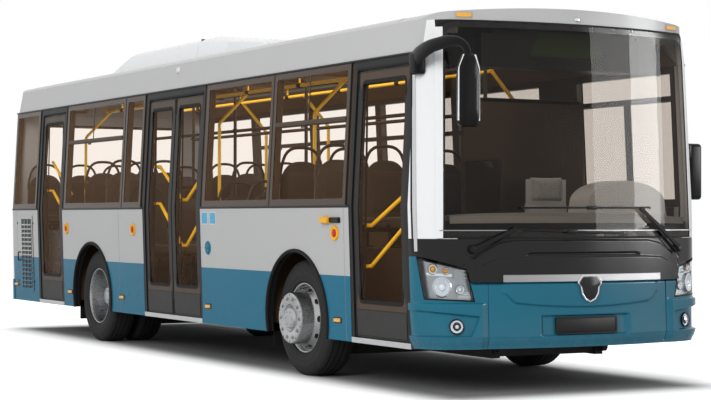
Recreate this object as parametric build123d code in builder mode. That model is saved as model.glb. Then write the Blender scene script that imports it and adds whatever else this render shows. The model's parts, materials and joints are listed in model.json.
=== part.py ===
from build123d import *
import math
import os

# A low-floor city bus with three doorways on its right side.
# Millimetres. +X forward, +Y left, +Z up. The origin is on the ground under the middle of the bus.

os.makedirs("parts", exist_ok=True)

# ---- driving dimensions: running gear ----
wheelbase = 4630
front_axle_x = 2420
rear_axle_x = front_axle_x - wheelbase
tyre_radius = 465
tyre_width = 268
rim_radius = 288
tyre_face_y = 1166            # outer sidewall of the outermost tyre
twin_gap = 44
hub_face_y = 1290             # outer face of the front hub flange
hub_flange_radius = 205
stub_radius = 45
running_clearance = 0.05
king_pin_y = 880
king_pin_radius = 24
steer_clearance = 3

# ---- driving dimensions: body ----
rear_x = -4950
front_x = 4670
side_front_x = 4233           # where the side wall meets the front corner
side_rear_x = -4730           # where the side wall meets the rear corner
belt_half_width = 1250
sill_half_width = 1215
eaves_half_width = 1192
sill_z = 330
belt_z = 1355
eaves_z = 2450
shoulder_z = 2690
shoulder_half_width = 1150
roof_edge_half_width = 1060
roof_edge_z = 2735
crown_z = 2785
ceiling_z = 2600
ceiling_half_width = 1000
wall = 60
glass = 8
joint_gap = 3

# ---- driving dimensions: plan of the front and the rear ----
front_bow_radius = 3330
front_corner_radius = 260
front_rake = 0.042            # backward lean of the front, per unit of height
front_rake_zero_z = 900
rear_bow_radius = 9000
rear_corner_radius = 120
rear_rake = 0.05
rear_rake_zero_z = 330
cap_levels = [0, sill_z, belt_z, eaves_z, shoulder_z, 2900]
cap_front_back_x = 3900
cap_rear_back_x = -4400

# ---- driving dimensions: windscreen and front end ----
screen_half_width = 1125
screen_bottom_z = 1120
screen_top_z = 2680
front_skin = 45
bumper_bottom_z = 338
bumper_seam_y = 790

# ---- driving dimensions: floor ----
deck_top_z = 365
deck_thickness = 35
deck_bottom_z = deck_top_z - deck_thickness
deck_front_x = 4180
platform_front_x = -3935
platform_top_z = 1120

# ---- driving dimensions: wheel arches ----
arch_radius = 530
wheelhouse_half_length = 600
wheelhouse_inner_y = 480
wheelhouse_wall = 25
wheelhouse_top_z = 1025

# ---- driving dimensions: doors ----
post = 45                     # width of a doorway's side post
header_z = 2375
leaf_gap = 7                  # at the pivot side, above and below
free_gap = 13                 # at the closing edge
meeting_gap = 20              # between the two middle leaves
leaf_recess = 12
leaf_thickness = 34
leaf_bottom_z = deck_top_z + 10
leaf_border = 70
kick_top_z = 640
leaf_glass_top_z = 2285
rail_radius = 15
rail_standoff = 45
column_radius = 14             # upright turning column of each leaf
column_z0 = 800
column_z1 = 1700

# Doorways on the right side: name, rear edge x, front edge x.
doorways = [
    ("rear", -3866, -3060),
    ("middle", -795, 567),
    ("front", 3342, 4233),
]

# Window panes: rear edge x, front edge x, height of the transom (0 for none).
right_panes = [
    (-4727, -3900, 0),
    (-3015, -1340, 2058),
    (-1340, -840, 0),
    (612, 1970, 0),
    (1970, 3297, 2025),
]
left_panes = [
    (-4727, -3350, 0),
    (-3350, -1900, 2058),
    (-1900, -450, 2058),
    (-450, 1000, 2058),
    (1000, 2450, 2058),
]
driver_pane = (2950, 4190)
pane_bottom_z = 1416
pane_top_z = 2395
pane_pillar = 110             # width of the pillar behind a joint between two panes
pane_edge = 40


def half_width_at(z):
    """Outer half width of the body side at a height, straight between sill, belt and eaves."""
    if z < belt_z:
        share = (z - sill_z) / (belt_z - sill_z)
        return sill_half_width + share * (belt_half_width - sill_half_width)
    if z < eaves_z:
        share = (z - belt_z) / (eaves_z - belt_z)
        return belt_half_width + share * (eaves_half_width - belt_half_width)
    share = min(1, (z - eaves_z) / (shoulder_z - eaves_z))
    return eaves_half_width + share * (shoulder_half_width - eaves_half_width)


def side_strip(x0, x1, z0, z1, outer, inner, side):
    """A length of body side between two depths behind the outer surface, bent at the belt."""
    heights = [z0, z1]
    if z0 < belt_z < z1:
        heights = [z0, belt_z, z1]
    outside = [(side * (half_width_at(z) - outer), z) for z in heights]
    inside = [(side * (half_width_at(z) - inner), z) for z in reversed(heights)]
    with BuildPart(mode=Mode.PRIVATE) as strip:
        with BuildSketch(Plane.YZ.offset(x0)):
            with BuildLine():
                Polyline(*outside, *inside, close=True)
            make_face()
        extrude(amount=x1 - x0)
    return strip.part


def block(x0, x1, y0, y1, z0, z1):
    """A plain box between two corners."""
    with BuildPart(mode=Mode.PRIVATE) as box:
        with Locations(((x0 + x1) / 2, (y0 + y1) / 2, (z0 + z1) / 2)):
            Box(x1 - x0, y1 - y0, z1 - z0)
    return box.part


def tube(points, radius):
    """A round bar along straight runs, with a slightly larger ball at each corner."""
    with BuildPart(mode=Mode.PRIVATE) as bar:
        for start, end in zip(points, points[1:]):
            run = Vector(*end) - Vector(*start)
            plane = Plane(origin=start, z_dir=run)
            with BuildSketch(plane):
                Circle(radius)
            extrude(amount=run.length)
        for corner in points[1:-1]:
            with Locations(corner):
                Sphere(radius + 0.4)
    return bar.part


def front_cap(inset):
    """Front end as a ruled loft of plan outlines: a bow, two tangent corner arcs and straight sides."""
    bow = front_bow_radius - inset
    corner = front_corner_radius - inset
    reach = front_bow_radius - front_corner_radius
    with BuildPart(mode=Mode.PRIVATE) as cap:
        for z in cap_levels:
            bow_x = front_x - front_rake * (z - front_rake_zero_z) - front_bow_radius
            corner_y = half_width_at(z) - front_corner_radius
            corner_x = bow_x + math.sqrt(reach**2 - corner_y**2)
            turn = math.degrees(math.atan2(corner_y, corner_x - bow_x))
            side_y = half_width_at(z) - inset
            with BuildSketch(Plane.XY.offset(z)):
                with BuildLine():
                    CenterArc((bow_x, 0), bow, -turn, 2 * turn)
                    CenterArc((corner_x, corner_y), corner, turn, 90 - turn)
                    CenterArc((corner_x, -corner_y), corner, -90, 90 - turn)
                    Polyline((corner_x, side_y), (cap_front_back_x, side_y), (cap_front_back_x, -side_y), (corner_x, -side_y))
                make_face()
        loft(ruled=True)
    return cap.part


def rear_cap(inset):
    """Rear end, made like the front end with a flatter bow and tighter corners."""
    bow = rear_bow_radius - inset
    corner = rear_corner_radius - inset
    reach = rear_bow_radius - rear_corner_radius
    with BuildPart(mode=Mode.PRIVATE) as cap:
        for z in cap_levels:
            bow_x = rear_x + rear_rake * (z - rear_rake_zero_z) + rear_bow_radius
            corner_y = half_width_at(z) - rear_corner_radius
            corner_x = bow_x - math.sqrt(reach**2 - corner_y**2)
            turn = math.degrees(math.atan2(corner_y, bow_x - corner_x))
            side_y = half_width_at(z) - inset
            with BuildSketch(Plane.XY.offset(z)):
                with BuildLine():
                    CenterArc((bow_x, 0), bow, 180 - turn, 2 * turn)
                    CenterArc((corner_x, corner_y), corner, 90, 90 - turn)
                    CenterArc((corner_x, -corner_y), corner, 180 + turn, 90 - turn)
                    Polyline((corner_x, side_y), (cap_rear_back_x, side_y), (cap_rear_back_x, -side_y), (corner_x, -side_y))
                make_face()
        loft(ruled=True)
    return cap.part


def section(inset, x0, x1):
    """The body's cross-section: straight sides, rounded shoulders and a crowned roof."""
    right = [
        (half_width_at(0) - inset, 0),
        (belt_half_width - inset, belt_z),
        (eaves_half_width - inset, eaves_z),
        (shoulder_half_width - inset, shoulder_z),
    ]
    with BuildPart(mode=Mode.PRIVATE) as prism:
        with BuildSketch(Plane.YZ.offset(x0)):
            with BuildLine():
                Polyline(*right)
                ThreePointArc(right[-1], (1120 - inset, 2718), (roof_edge_half_width - inset, roof_edge_z))
                ThreePointArc(
                    (roof_edge_half_width - inset, roof_edge_z),
                    (0, crown_z),
                    (-roof_edge_half_width + inset, roof_edge_z),
                )
                ThreePointArc((-roof_edge_half_width + inset, roof_edge_z), (-1120 + inset, 2718), (-right[-1][0], right[-1][1]))
                Polyline(*[(-y, z) for y, z in reversed(right)])
                Line((-right[0][0], 0), (right[0][0], 0))
            make_face()
        extrude(amount=x1 - x0)
    return prism.part


def front_view_prism(points, grow=0):
    """A prism along X from an outline drawn in the front view, as (y, z) points."""
    with BuildPart(mode=Mode.PRIVATE) as prism:
        with BuildSketch(Plane.YZ.offset(cap_front_back_x)):
            with BuildLine():
                Polyline(*points, close=True)
            make_face()
            if grow:
                offset(amount=grow, kind=Kind.INTERSECTION)
        extrude(amount=1200)
    return prism.part


def mirrored(points):
    """The same outline on the other side of the middle plane."""
    return [(-y, z) for y, z in points]


# ---- tools shared by several pieces ----
front_outer = front_cap(0)
front_inner = front_cap(front_skin)
rear_outer = rear_cap(0)
rear_inner = rear_cap(wall)
front_zone = block(side_front_x, 4900, -1400, 1400, 0, 2900)
rear_zone = block(-5100, side_rear_x, -1400, 1400, 0, 2900)

screen_outline = [
    (-screen_half_width - 12, screen_bottom_z + joint_gap),
    (screen_half_width + 12, screen_bottom_z + joint_gap),
    (screen_half_width - 24, screen_top_z),
    (-screen_half_width + 24, screen_top_z),
]
apron_bottom_z = 812
lamp_top_z = 1014             # of the outline's outer corner, well outside the body
lamp_outline = [(1300, lamp_top_z), (944, 903), (889, 676), (1300, 708)]
lamp_rear_line = [(4317, 990), (4380, 705)]     # rear edge of the lamp in the side view, as (x, z)
apron_outline = [
    (-1300, lamp_top_z + joint_gap), (-941, 905), (-919, apron_bottom_z), (919, apron_bottom_z), (941, 905),
    (1300, lamp_top_z + joint_gap), (1300, screen_bottom_z), (-1300, screen_bottom_z),
]
bumper_top_z = apron_bottom_z - joint_gap
bumper_outline = [
    (-1300, bumper_bottom_z), (1300, bumper_bottom_z), (1300, lamp_top_z), (1000, 920), (1000, bumper_top_z),
    (-1000, bumper_top_z), (-1000, 920), (-1300, lamp_top_z),
]


def lamp_zone(outline, grow):
    """The space of a head lamp: its front-view outline, ahead of a leaning line in the side view."""
    (top_x, top_z), (low_x, low_z) = lamp_rear_line
    lean = (low_x - top_x) / (top_z - low_z)
    with BuildPart(mode=Mode.PRIVATE) as zone:
        with BuildSketch(Plane.XZ):
            with BuildLine():
                Polyline(
                    (top_x - lean * 200 - grow, top_z + 200), (low_x + lean * 200 - grow, low_z - 200),
                    (5000, low_z - 200), (5000, top_z + 200), close=True,
                )
            make_face()
        extrude(amount=1400, both=True)
        add(front_view_prism(outline, grow), mode=Mode.INTERSECT)
    return zone.part


# ================= body shell =================

with BuildPart() as roof_clip:
    with BuildSketch(Plane.YZ.offset(-5200)):
        with BuildLine():
            Polyline((-1178, 2656), (-1500, 2600), (-1500, 2300), (1500, 2300), (1500, 2600), (1178, 2656))
            ThreePointArc((1178, 2656), (1126, 2711), (roof_edge_half_width, roof_edge_z))
            ThreePointArc((roof_edge_half_width, roof_edge_z), (0, crown_z), (-roof_edge_half_width, roof_edge_z))
            ThreePointArc((-roof_edge_half_width, roof_edge_z), (-1126, 2711), (-1178, 2656))
        make_face()
    extrude(amount=10200)

with BuildPart() as roof:
    add(front_outer)
    add(roof_clip.part, mode=Mode.INTERSECT)
    with BuildPart(mode=Mode.PRIVATE) as rear_roof:
        add(rear_outer)
        add(roof_clip.part, mode=Mode.INTERSECT)
    add(rear_roof.part)
    add(section(0, cap_rear_back_x, cap_front_back_x))
    add(block(-5100, 4900, -1400, 1400, 0, eaves_z), mode=Mode.SUBTRACT)
    with BuildSketch(Plane.YZ.offset(side_rear_x)):
        with BuildLine():
            Polyline(
                (-eaves_half_width + wall, eaves_z), (-ceiling_half_width, ceiling_z),
                (ceiling_half_width, ceiling_z), (eaves_half_width - wall, eaves_z), close=True,
            )
        make_face()
    extrude(amount=4300 - side_rear_x, mode=Mode.SUBTRACT)
    add(block(4300, 4900, -1400, 1400, 0, screen_top_z), mode=Mode.SUBTRACT)
roof.part.label = "roof"

unit_rear_x = -2600
unit_front_x = 1120
unit_seam_x = -330
unit_half_width = 900
unit_top_z = 2962
with BuildPart() as roof_unit:
    with BuildSketch(Plane.XZ):
        with BuildLine():
            Polyline(
                (unit_rear_x, 2700), (unit_rear_x + 60, crown_z + 20), (unit_rear_x + 700, unit_top_z - 8),
                (unit_rear_x + 760, unit_top_z), (unit_seam_x + 260, unit_top_z + 6), (unit_front_x - 1200, unit_top_z),
                (unit_front_x - 60, crown_z + 45), (unit_front_x, crown_z + 20), (unit_front_x, 2700), close=True,
            )
        make_face()
    extrude(amount=unit_half_width, both=True)
    with BuildPart(mode=Mode.PRIVATE) as unit_flanks:
        with BuildSketch(Plane.YZ.offset(unit_rear_x)):
            with BuildLine():
                Polyline(
                    (-unit_half_width, 2700), (-unit_half_width + 20, 2900), (-unit_half_width + 110, unit_top_z + 8),
                    (unit_half_width - 110, unit_top_z + 8), (unit_half_width - 20, 2900), (unit_half_width, 2700), close=True,
                )
            make_face()
        extrude(amount=unit_front_x - unit_rear_x)
    add(unit_flanks.part, mode=Mode.INTERSECT)
    add(section(0, unit_rear_x - 10, unit_front_x + 10), mode=Mode.SUBTRACT)
roof_unit.part.label = "roof_unit"

# Lower sides: sill to belt, with wheel arches and doorways.
with BuildPart() as arch_tool:
    for axle_x in (front_axle_x, rear_axle_x):
        with BuildSketch(Plane.XZ):
            with Locations((axle_x, tyre_radius)):
                Circle(arch_radius)
            with Locations((axle_x, tyre_radius / 2)):
                Rectangle(2 * arch_radius, tyre_radius)
        extrude(amount=1400, both=True)
    add(block(-5000, 5000, -wheelhouse_inner_y, wheelhouse_inner_y, 0, 1400), mode=Mode.SUBTRACT)

with BuildPart() as side_lower_left:
    add(side_strip(side_rear_x, side_front_x, sill_z, belt_z, 0, wall, 1))
    add(arch_tool.part, mode=Mode.SUBTRACT)
side_lower_left.part.label = "side_lower_left"

grille_x0 = -4410
grille_x1 = -4075
grille_z0 = 480
grille_z1 = 1245
louvre_pitch = 48
with BuildPart() as side_lower_right:
    edge = side_rear_x
    for name, x0, x1 in doorways + [("end", side_front_x, side_front_x)]:
        if x0 > edge:
            add(side_strip(edge, x0, sill_z, belt_z, 0, wall, -1))
        edge = x1
    add(arch_tool.part, mode=Mode.SUBTRACT)
    for row in range(int((grille_z1 - grille_z0) / louvre_pitch)):
        z = grille_z0 + (row + 0.5) * louvre_pitch
        add(block(grille_x0, grille_x1, -1300, -1100, z - 11, z + 11), mode=Mode.SUBTRACT)
side_lower_right.part.label = "side_lower_right"


def window_side(spans, panes, side):
    """Upper side frame behind the glass: spans of wall with an opening for each pane."""
    with BuildPart(mode=Mode.PRIVATE) as frame:
        for x0, x1 in spans:
            add(side_strip(x0, x1, belt_z, eaves_z, glass, wall, side))
        for x0, x1, transom_z in panes:
            low = x0 + pane_pillar / 2
            high = x1 - pane_pillar / 2
            rows = [(pane_bottom_z, pane_top_z)]
            if transom_z:
                rows = [(pane_bottom_z, transom_z - 20), (transom_z + 20, pane_top_z)]
            for z0, z1 in rows:
                y0, y1 = sorted((side * 1000, side * 1300))
                add(block(low, high, y0, y1, z0, z1), mode=Mode.SUBTRACT)
    return frame.part


right_spans = [(side_rear_x, doorways[0][1])]
right_spans += [(behind[2], ahead[1]) for behind, ahead in zip(doorways, doorways[1:])]
driver_opening = (driver_pane[0] - 55, driver_pane[1] + 55, 2200)
with BuildPart() as window_frames:
    add(window_side([(side_rear_x, side_front_x)], left_panes + [driver_opening], 1))
    add(window_side(right_spans, right_panes, -1))
window_frames.part.label = "window_frames"

with BuildPart() as side_glass:
    for panes, side in ((left_panes, 1), (right_panes, -1)):
        for x0, x1, transom_z in panes:
            add(side_strip(x0 + joint_gap, x1 - joint_gap, belt_z + 8, eaves_z - 8, 0, glass, side))
    add(side_strip(driver_pane[0] - 50, side_front_x - joint_gap, belt_z + 8, eaves_z - 8, 0, glass, 1))
side_glass.part.label = "side_glass"

# Rear end.
rear_bumper_top_z = 560
window_half = 860
window_z0 = 1500
window_z1 = 2340
hatch_half = 780
hatch_z0 = 620
hatch_z1 = 1390
lamp_half_inner = 980
rear_lamp_z0 = 700
rear_lamp_z1 = 1330
with BuildPart() as rear_window:
    add(rear_outer)
    add(rear_cap(glass), mode=Mode.SUBTRACT)
    add(block(-5100, -4600, -window_half - 20, window_half + 20, window_z0 - 20, window_z1 + 20), mode=Mode.INTERSECT)
rear_window.part.label = "rear_window"

with BuildPart() as rear_wall:
    add(rear_outer)
    add(rear_inner, mode=Mode.SUBTRACT)
    add(block(-5100, side_rear_x, -1400, 1400, rear_bumper_top_z, eaves_z), mode=Mode.INTERSECT)
    add(block(-5100, -4600, -window_half, window_half, window_z0, window_z1), mode=Mode.SUBTRACT)
    add(rear_window.part, mode=Mode.SUBTRACT)
    add(block(-5100, -4600, -hatch_half, hatch_half, hatch_z0, hatch_z1), mode=Mode.SUBTRACT)
    for side in (-1, 1):
        y0, y1 = sorted((side * lamp_half_inner, side * 1100))
        add(block(-5100, -4600, y0, y1, rear_lamp_z0, rear_lamp_z1), mode=Mode.SUBTRACT)
rear_wall.part.label = "rear_wall"

with BuildPart() as engine_hatch:
    add(rear_outer)
    add(rear_cap(40), mode=Mode.SUBTRACT)
    add(block(-5100, -4600, -hatch_half + 6, hatch_half - 6, hatch_z0 + 10, hatch_z1 - 6), mode=Mode.INTERSECT)
engine_hatch.part.label = "engine_hatch"

with BuildPart() as rear_bumper:
    add(rear_cap(-8))
    add(rear_inner, mode=Mode.SUBTRACT)
    add(block(-5100, side_rear_x, -1400, 1400, sill_z, rear_bumper_top_z - 1), mode=Mode.INTERSECT)
rear_bumper.part.label = "rear_bumper"

# Front end.
with BuildPart() as windscreen:
    add(front_outer)
    add(front_cap(glass), mode=Mode.SUBTRACT)
    add(front_view_prism(screen_outline), mode=Mode.INTERSECT)
    add(block(4300, 4900, -1400, 1400, 0, 2900), mode=Mode.INTERSECT)
windscreen.part.label = "windscreen"

with BuildPart() as front_pillars:
    add(front_outer)
    add(front_inner, mode=Mode.SUBTRACT)
    add(block(side_front_x, 4900, -1400, 1400, screen_bottom_z, screen_top_z), mode=Mode.INTERSECT)
    add(front_view_prism(screen_outline), mode=Mode.SUBTRACT)
    add(block(side_front_x, 4300, -1400, 1400, eaves_z, 2900), mode=Mode.SUBTRACT)
    add(block(4250, 4900, -1000, 1000, 0, 2900), mode=Mode.SUBTRACT)
front_pillars.part.label = "front_pillars"

with BuildPart() as front_apron:
    add(front_outer)
    add(front_inner, mode=Mode.SUBTRACT)
    add(front_view_prism(apron_outline), mode=Mode.INTERSECT)
    add(block(side_front_x, 4900, -1400, 1400, 0, 2900), mode=Mode.INTERSECT)
front_apron.part.label = "front_apron"

with BuildPart() as front_bumper:
    add(front_outer)
    add(front_inner, mode=Mode.SUBTRACT)
    add(front_view_prism(bumper_outline), mode=Mode.INTERSECT)
    add(block(side_front_x, 4900, -1400, 1400, 0, 2900), mode=Mode.INTERSECT)
    add(lamp_zone(lamp_outline, joint_gap), mode=Mode.SUBTRACT)
    add(lamp_zone(mirrored(lamp_outline), joint_gap), mode=Mode.SUBTRACT)
    for side in (-1, 1):
        seam_y = side * bumper_seam_y
        add(block(4300, 4900, seam_y - 1.5, seam_y + 1.5, 0, 1000), mode=Mode.SUBTRACT)
front_bumper.part.label = "front_bumper"

with BuildPart() as lamps:
    for outline in (lamp_outline, mirrored(lamp_outline)):
        with BuildPart(mode=Mode.PRIVATE) as lamp:
            add(front_outer)
            add(front_inner, mode=Mode.SUBTRACT)
            add(lamp_zone(outline, 0), mode=Mode.INTERSECT)
        add(lamp.part)
    for side in (-1, 1):
        with BuildPart(mode=Mode.PRIVATE) as tail_lamp:
            y0, y1 = sorted((side * (lamp_half_inner + 2), side * 1098))
            add(rear_outer)
            add(rear_cap(50), mode=Mode.SUBTRACT)
            add(block(-5100, -4600, y0, y1, rear_lamp_z0 + 2, rear_lamp_z1 - 2), mode=Mode.INTERSECT)
        add(tail_lamp.part)
lamps.part.label = "lamps"


# ================= doorways and doors =================

with BuildPart() as door_frames:
    for name, x0, x1 in doorways:
        add(side_strip(x0, x0 + post, deck_top_z, eaves_z, 2, wall, -1))
        add(side_strip(x1 - post, x1, deck_top_z, eaves_z, 2, wall, -1))
        add(side_strip(x0 + post, x1 - post, header_z, eaves_z, 2, wall, -1))
door_frames.part.label = "door_frames"

axis_y = -1148                # every leaf turns about an upright axis just inside its inner face

# Leaves: name, pivot edge x, closing edge x, rails as (height at pivot, height at closing edge).
middle_x = (doorways[1][1] + doorways[1][2]) / 2
leaves = [
    ("door_rear", doorways[0][1] + post + leaf_gap, doorways[0][2] - post - free_gap, [(1872, 1515), (1560, 1180)]),
    ("door_middle_rear", doorways[1][1] + post + leaf_gap, middle_x - meeting_gap / 2, [(1750, 1430), (1400, 1010)]),
    ("door_middle_front", doorways[1][2] - post - leaf_gap, middle_x + meeting_gap / 2, [(1750, 1430), (1400, 1010)]),
    ("door_front", doorways[2][2] - post - leaf_gap, doorways[2][1] + post + free_gap, [(1524, 1210), (1324, 903)]),
]


def leaf_glass_span(pivot_x, close_x):
    """Lower and upper x of a leaf's glazed opening."""
    x0, x1 = sorted((pivot_x, close_x))
    return x0 + leaf_border, x1 - leaf_border


leaf_parts = []
for name, pivot_x, close_x, rails in leaves:
    x0, x1 = sorted((pivot_x, close_x))
    glass_x0, glass_x1 = leaf_glass_span(pivot_x, close_x)
    inward = 1 if close_x > pivot_x else -1
    with BuildPart() as leaf:
        add(side_strip(x0, x1, leaf_bottom_z, header_z - leaf_gap, leaf_recess, leaf_recess + leaf_thickness, -1))
        add(block(glass_x0, glass_x1, -1300, -1100, kick_top_z, leaf_glass_top_z), mode=Mode.SUBTRACT)
        for pivot_z, close_z in rails:
            start_x = pivot_x + inward * 45
            end_x = close_x - inward * 45
            rail_y = axis_y + rail_standoff
            start_root = -(half_width_at(pivot_z) - leaf_recess - leaf_thickness + 8)
            end_root = -(half_width_at(close_z) - leaf_recess - leaf_thickness + 8)
            add(tube([(start_x, start_root, pivot_z), (start_x, rail_y, pivot_z), (end_x, rail_y, close_z), (end_x, end_root, close_z)], rail_radius))
        with Locations((pivot_x, axis_y, (column_z0 + column_z1) / 2)):
            Cylinder(column_radius, column_z1 - column_z0)
        for arm_z in (column_z0 + 60, column_z1 - 60):
            arm_x0, arm_x1 = sorted((pivot_x, pivot_x + inward * 30))
            arm_root = -(half_width_at(arm_z) - leaf_recess - leaf_thickness + 4)
            add(block(arm_x0, arm_x1, arm_root, axis_y, arm_z - 15, arm_z + 15))
    leaf.part.label = name
    with BuildPart() as pane:
        add(side_strip(glass_x0, glass_x1, kick_top_z, leaf_glass_top_z, leaf_recess + 6, leaf_recess + 6 + glass, -1))
    pane.part.label = name + "_glass"
    leaf_parts += [leaf.part, pane.part]

# ================= floor and underbody =================

with BuildPart() as floor_deck:
    add(block(-4755, deck_front_x, -1154, 1154, deck_bottom_z, deck_top_z))
    for name, x0, x1 in doorways:
        add(block(x0 + 1, x1 - 1, -1210, -1100, deck_bottom_z, deck_top_z))
    for axle_x in (front_axle_x, rear_axle_x):
        for side in (-1, 1):
            y0, y1 = sorted((side * wheelhouse_inner_y, side * 1300))
            add(block(axle_x - wheelhouse_half_length, axle_x + wheelhouse_half_length, y0, y1, 0, 2000), mode=Mode.SUBTRACT)
floor_deck.part.label = "floor_deck"


def inner_y_at(z):
    """Inner face of the side wall at a height."""
    return half_width_at(z) - wall


with BuildPart() as wheelhouses:
    for axle_x in (front_axle_x, rear_axle_x):
        for side in (-1, 1):
            x0 = axle_x - wheelhouse_half_length
            with BuildPart(mode=Mode.PRIVATE) as house:
                with BuildSketch(Plane.YZ.offset(x0)):
                    with BuildLine():
                        Polyline(
                            (side * wheelhouse_inner_y, deck_bottom_z),
                            (side * (inner_y_at(deck_bottom_z) - 1), deck_bottom_z),
                            (side * (inner_y_at(wheelhouse_top_z) - 1), wheelhouse_top_z),
                            (side * wheelhouse_inner_y, wheelhouse_top_z),
                            close=True,
                        )
                    make_face()
                extrude(amount=2 * wheelhouse_half_length)
                y0, y1 = sorted((side * (wheelhouse_inner_y + wheelhouse_wall), side * 1300))
                add(
                    block(
                        x0 + wheelhouse_wall, x0 + 2 * wheelhouse_half_length - wheelhouse_wall,
                        y0, y1, 0, wheelhouse_top_z - wheelhouse_wall,
                    ),
                    mode=Mode.SUBTRACT,
                )
            add(house.part)
wheelhouses.part.label = "wheelhouses"

platform_rear_x = -4760
platform_half_width = 1140
platform_wall = 30
with BuildPart() as rear_platform:
    add(block(platform_rear_x, platform_front_x, -platform_half_width, platform_half_width, deck_top_z, platform_top_z))
    add(
        block(
            platform_rear_x - 10, platform_front_x - platform_wall, -platform_half_width + platform_wall,
            platform_half_width - platform_wall, deck_top_z - 10, platform_top_z - platform_wall,
        ),
        mode=Mode.SUBTRACT,
    )
rear_platform.part.label = "rear_platform"

engine_size = (700, 1050, 640)
with BuildPart() as engine:
    with Locations((platform_front_x - 480, 0, deck_top_z + engine_size[2] / 2)):
        Box(*engine_size)
    fillet(engine.edges().filter_by(Axis.Z), 30)
engine.part.label = "engine"

chassis_y = 430
chassis_width = 70
chassis_bottom_z = 235
tow_bore_radius = 22
tow_eye_thickness = 40
tow_eye_radius = 38
tow_front_x = deck_front_x + 50
tow_front_z = 300
tow_rear_x = -4840
tow_rear_z = 280
chassis_rear_x = -4755
with BuildPart() as underframe:
    for x0, x1 in ((chassis_rear_x, -2700), (-1720, 1930), (2910, deck_front_x)):
        for side in (-1, 1):
            y0, y1 = sorted((side * chassis_y, side * (chassis_y + chassis_width)))
            add(block(x0, x1, y0, y1, chassis_bottom_z, deck_bottom_z))
        count = int((x1 - x0) / 900) + 2
        for step in range(count):
            x = x0 + 60 + step * (x1 - x0 - 120) / (count - 1)
            add(block(x - 30, x + 30, -chassis_y, chassis_y, chassis_bottom_z + 10, deck_bottom_z))
    for eye_x, rail_end_x, tow_z in ((tow_front_x, deck_front_x, tow_front_z), (tow_rear_x, chassis_rear_x, tow_rear_z)):
        for side in (-1, 1):
            eye_y = side * (chassis_y + chassis_width / 2)
            x0, x1 = sorted((rail_end_x, eye_x))
            add(block(x0, x1, eye_y - tow_eye_thickness / 2, eye_y + tow_eye_thickness / 2, tow_z - tow_eye_radius, tow_z + tow_eye_radius))
            with Locations(Location((eye_x, eye_y, tow_z), (90, 0, 0))):
                Cylinder(tow_eye_radius, tow_eye_thickness)
                Cylinder(tow_bore_radius, tow_eye_thickness, mode=Mode.SUBTRACT)
underframe.part.label = "underframe"

# ================= axles, knuckles and wheels =================

beam_z0 = 165
beam_z1 = 245
beam_half = 60
upright_half = 45
steer_arm_back = 170
steer_arm_out = 20
steer_arm_radius = 15
pin_eye_radius = 52
pin_eye_z0 = 400
pin_eye_z1 = 530
spring_radius = 95
with BuildPart() as front_axle:
    add(block(front_axle_x - beam_half, front_axle_x + beam_half, -700, 700, beam_z0, beam_z1))
    for side in (-1, 1):
        y0, y1 = sorted((side * 700, side * (king_pin_y - 70)))
        add(block(front_axle_x - upright_half, front_axle_x + upright_half, y0, y1, beam_z0, pin_eye_z1 - 20))
        y0, y1 = sorted((side * (king_pin_y - 70), side * king_pin_y))
        add(block(front_axle_x - 40, front_axle_x + 40, y0, y1, pin_eye_z0, pin_eye_z1))
        with Locations((front_axle_x, side * king_pin_y, (pin_eye_z0 + pin_eye_z1) / 2)):
            Cylinder(pin_eye_radius, pin_eye_z1 - pin_eye_z0)
            Cylinder(king_pin_radius + running_clearance, pin_eye_z1 - pin_eye_z0, mode=Mode.SUBTRACT)
        with Locations((front_axle_x, side * 380, (beam_z1 + deck_bottom_z) / 2)):
            Cylinder(spring_radius, deck_bottom_z - beam_z1)
front_axle.part.label = "front_axle"

front_wheel_centre_y = tyre_face_y - tyre_width / 2
wheel_disc_y = front_wheel_centre_y + 60        # mounting face of the front disc
knuckle_parts = []
for label, side in (("left", 1), ("right", -1)):
    with BuildPart() as knuckle:
        eye_mid = (pin_eye_z0 + pin_eye_z1) / 2
        with Locations((front_axle_x, side * king_pin_y, eye_mid)):
            Cylinder(king_pin_radius, pin_eye_z1 - pin_eye_z0 + 2 * steer_clearance + 60)
        for z0, z1 in ((pin_eye_z0 - steer_clearance - 30, pin_eye_z0 - steer_clearance), (pin_eye_z1 + steer_clearance, pin_eye_z1 + steer_clearance + 30)):
            with Locations((front_axle_x, side * king_pin_y, (z0 + z1) / 2)):
                Cylinder(48, z1 - z0)
            y0, y1 = sorted((side * king_pin_y, side * (king_pin_y + 95)))
            add(block(front_axle_x - 42, front_axle_x + 42, y0, y1, z0, z1))
        y0, y1 = sorted((side * (king_pin_y + pin_eye_radius + 8), side * (king_pin_y + 95)))
        add(block(front_axle_x - 42, front_axle_x + 42, y0, y1, pin_eye_z0 - 33, pin_eye_z1 + 33))
        y0, y1 = sorted((side * (king_pin_y + 90), side * (wheel_disc_y + 60)))
        with Locations(Location((front_axle_x, (y0 + y1) / 2, tyre_radius), (90, 0, 0))):
            Cylinder(stub_radius, y1 - y0)
        arm_z = pin_eye_z0 - steer_clearance - 15
        arm_root = (front_axle_x - 30, side * king_pin_y, arm_z)
        arm_tip = (front_axle_x - steer_arm_back, side * (king_pin_y + steer_arm_out), arm_z)
        add(tube([arm_root, arm_tip], steer_arm_radius))
    knuckle.part.label = "knuckle_" + label
    knuckle_parts.append(knuckle.part)

bead_radius = rim_radius - 2
tyre_shoulder = 34


def ring(profile, centre_x, side):
    """A solid turned about a wheel's axle line, from (y, radius) points."""
    with BuildPart(mode=Mode.PRIVATE) as turned:
        with BuildSketch(Plane.YZ.offset(centre_x)):
            with BuildLine():
                Polyline(*[(side * y, tyre_radius + radius) for y, radius in profile], close=True)
            make_face()
        revolve(axis=Axis((centre_x, 0, tyre_radius), (0, 1, 0)))
    return turned.part


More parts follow.
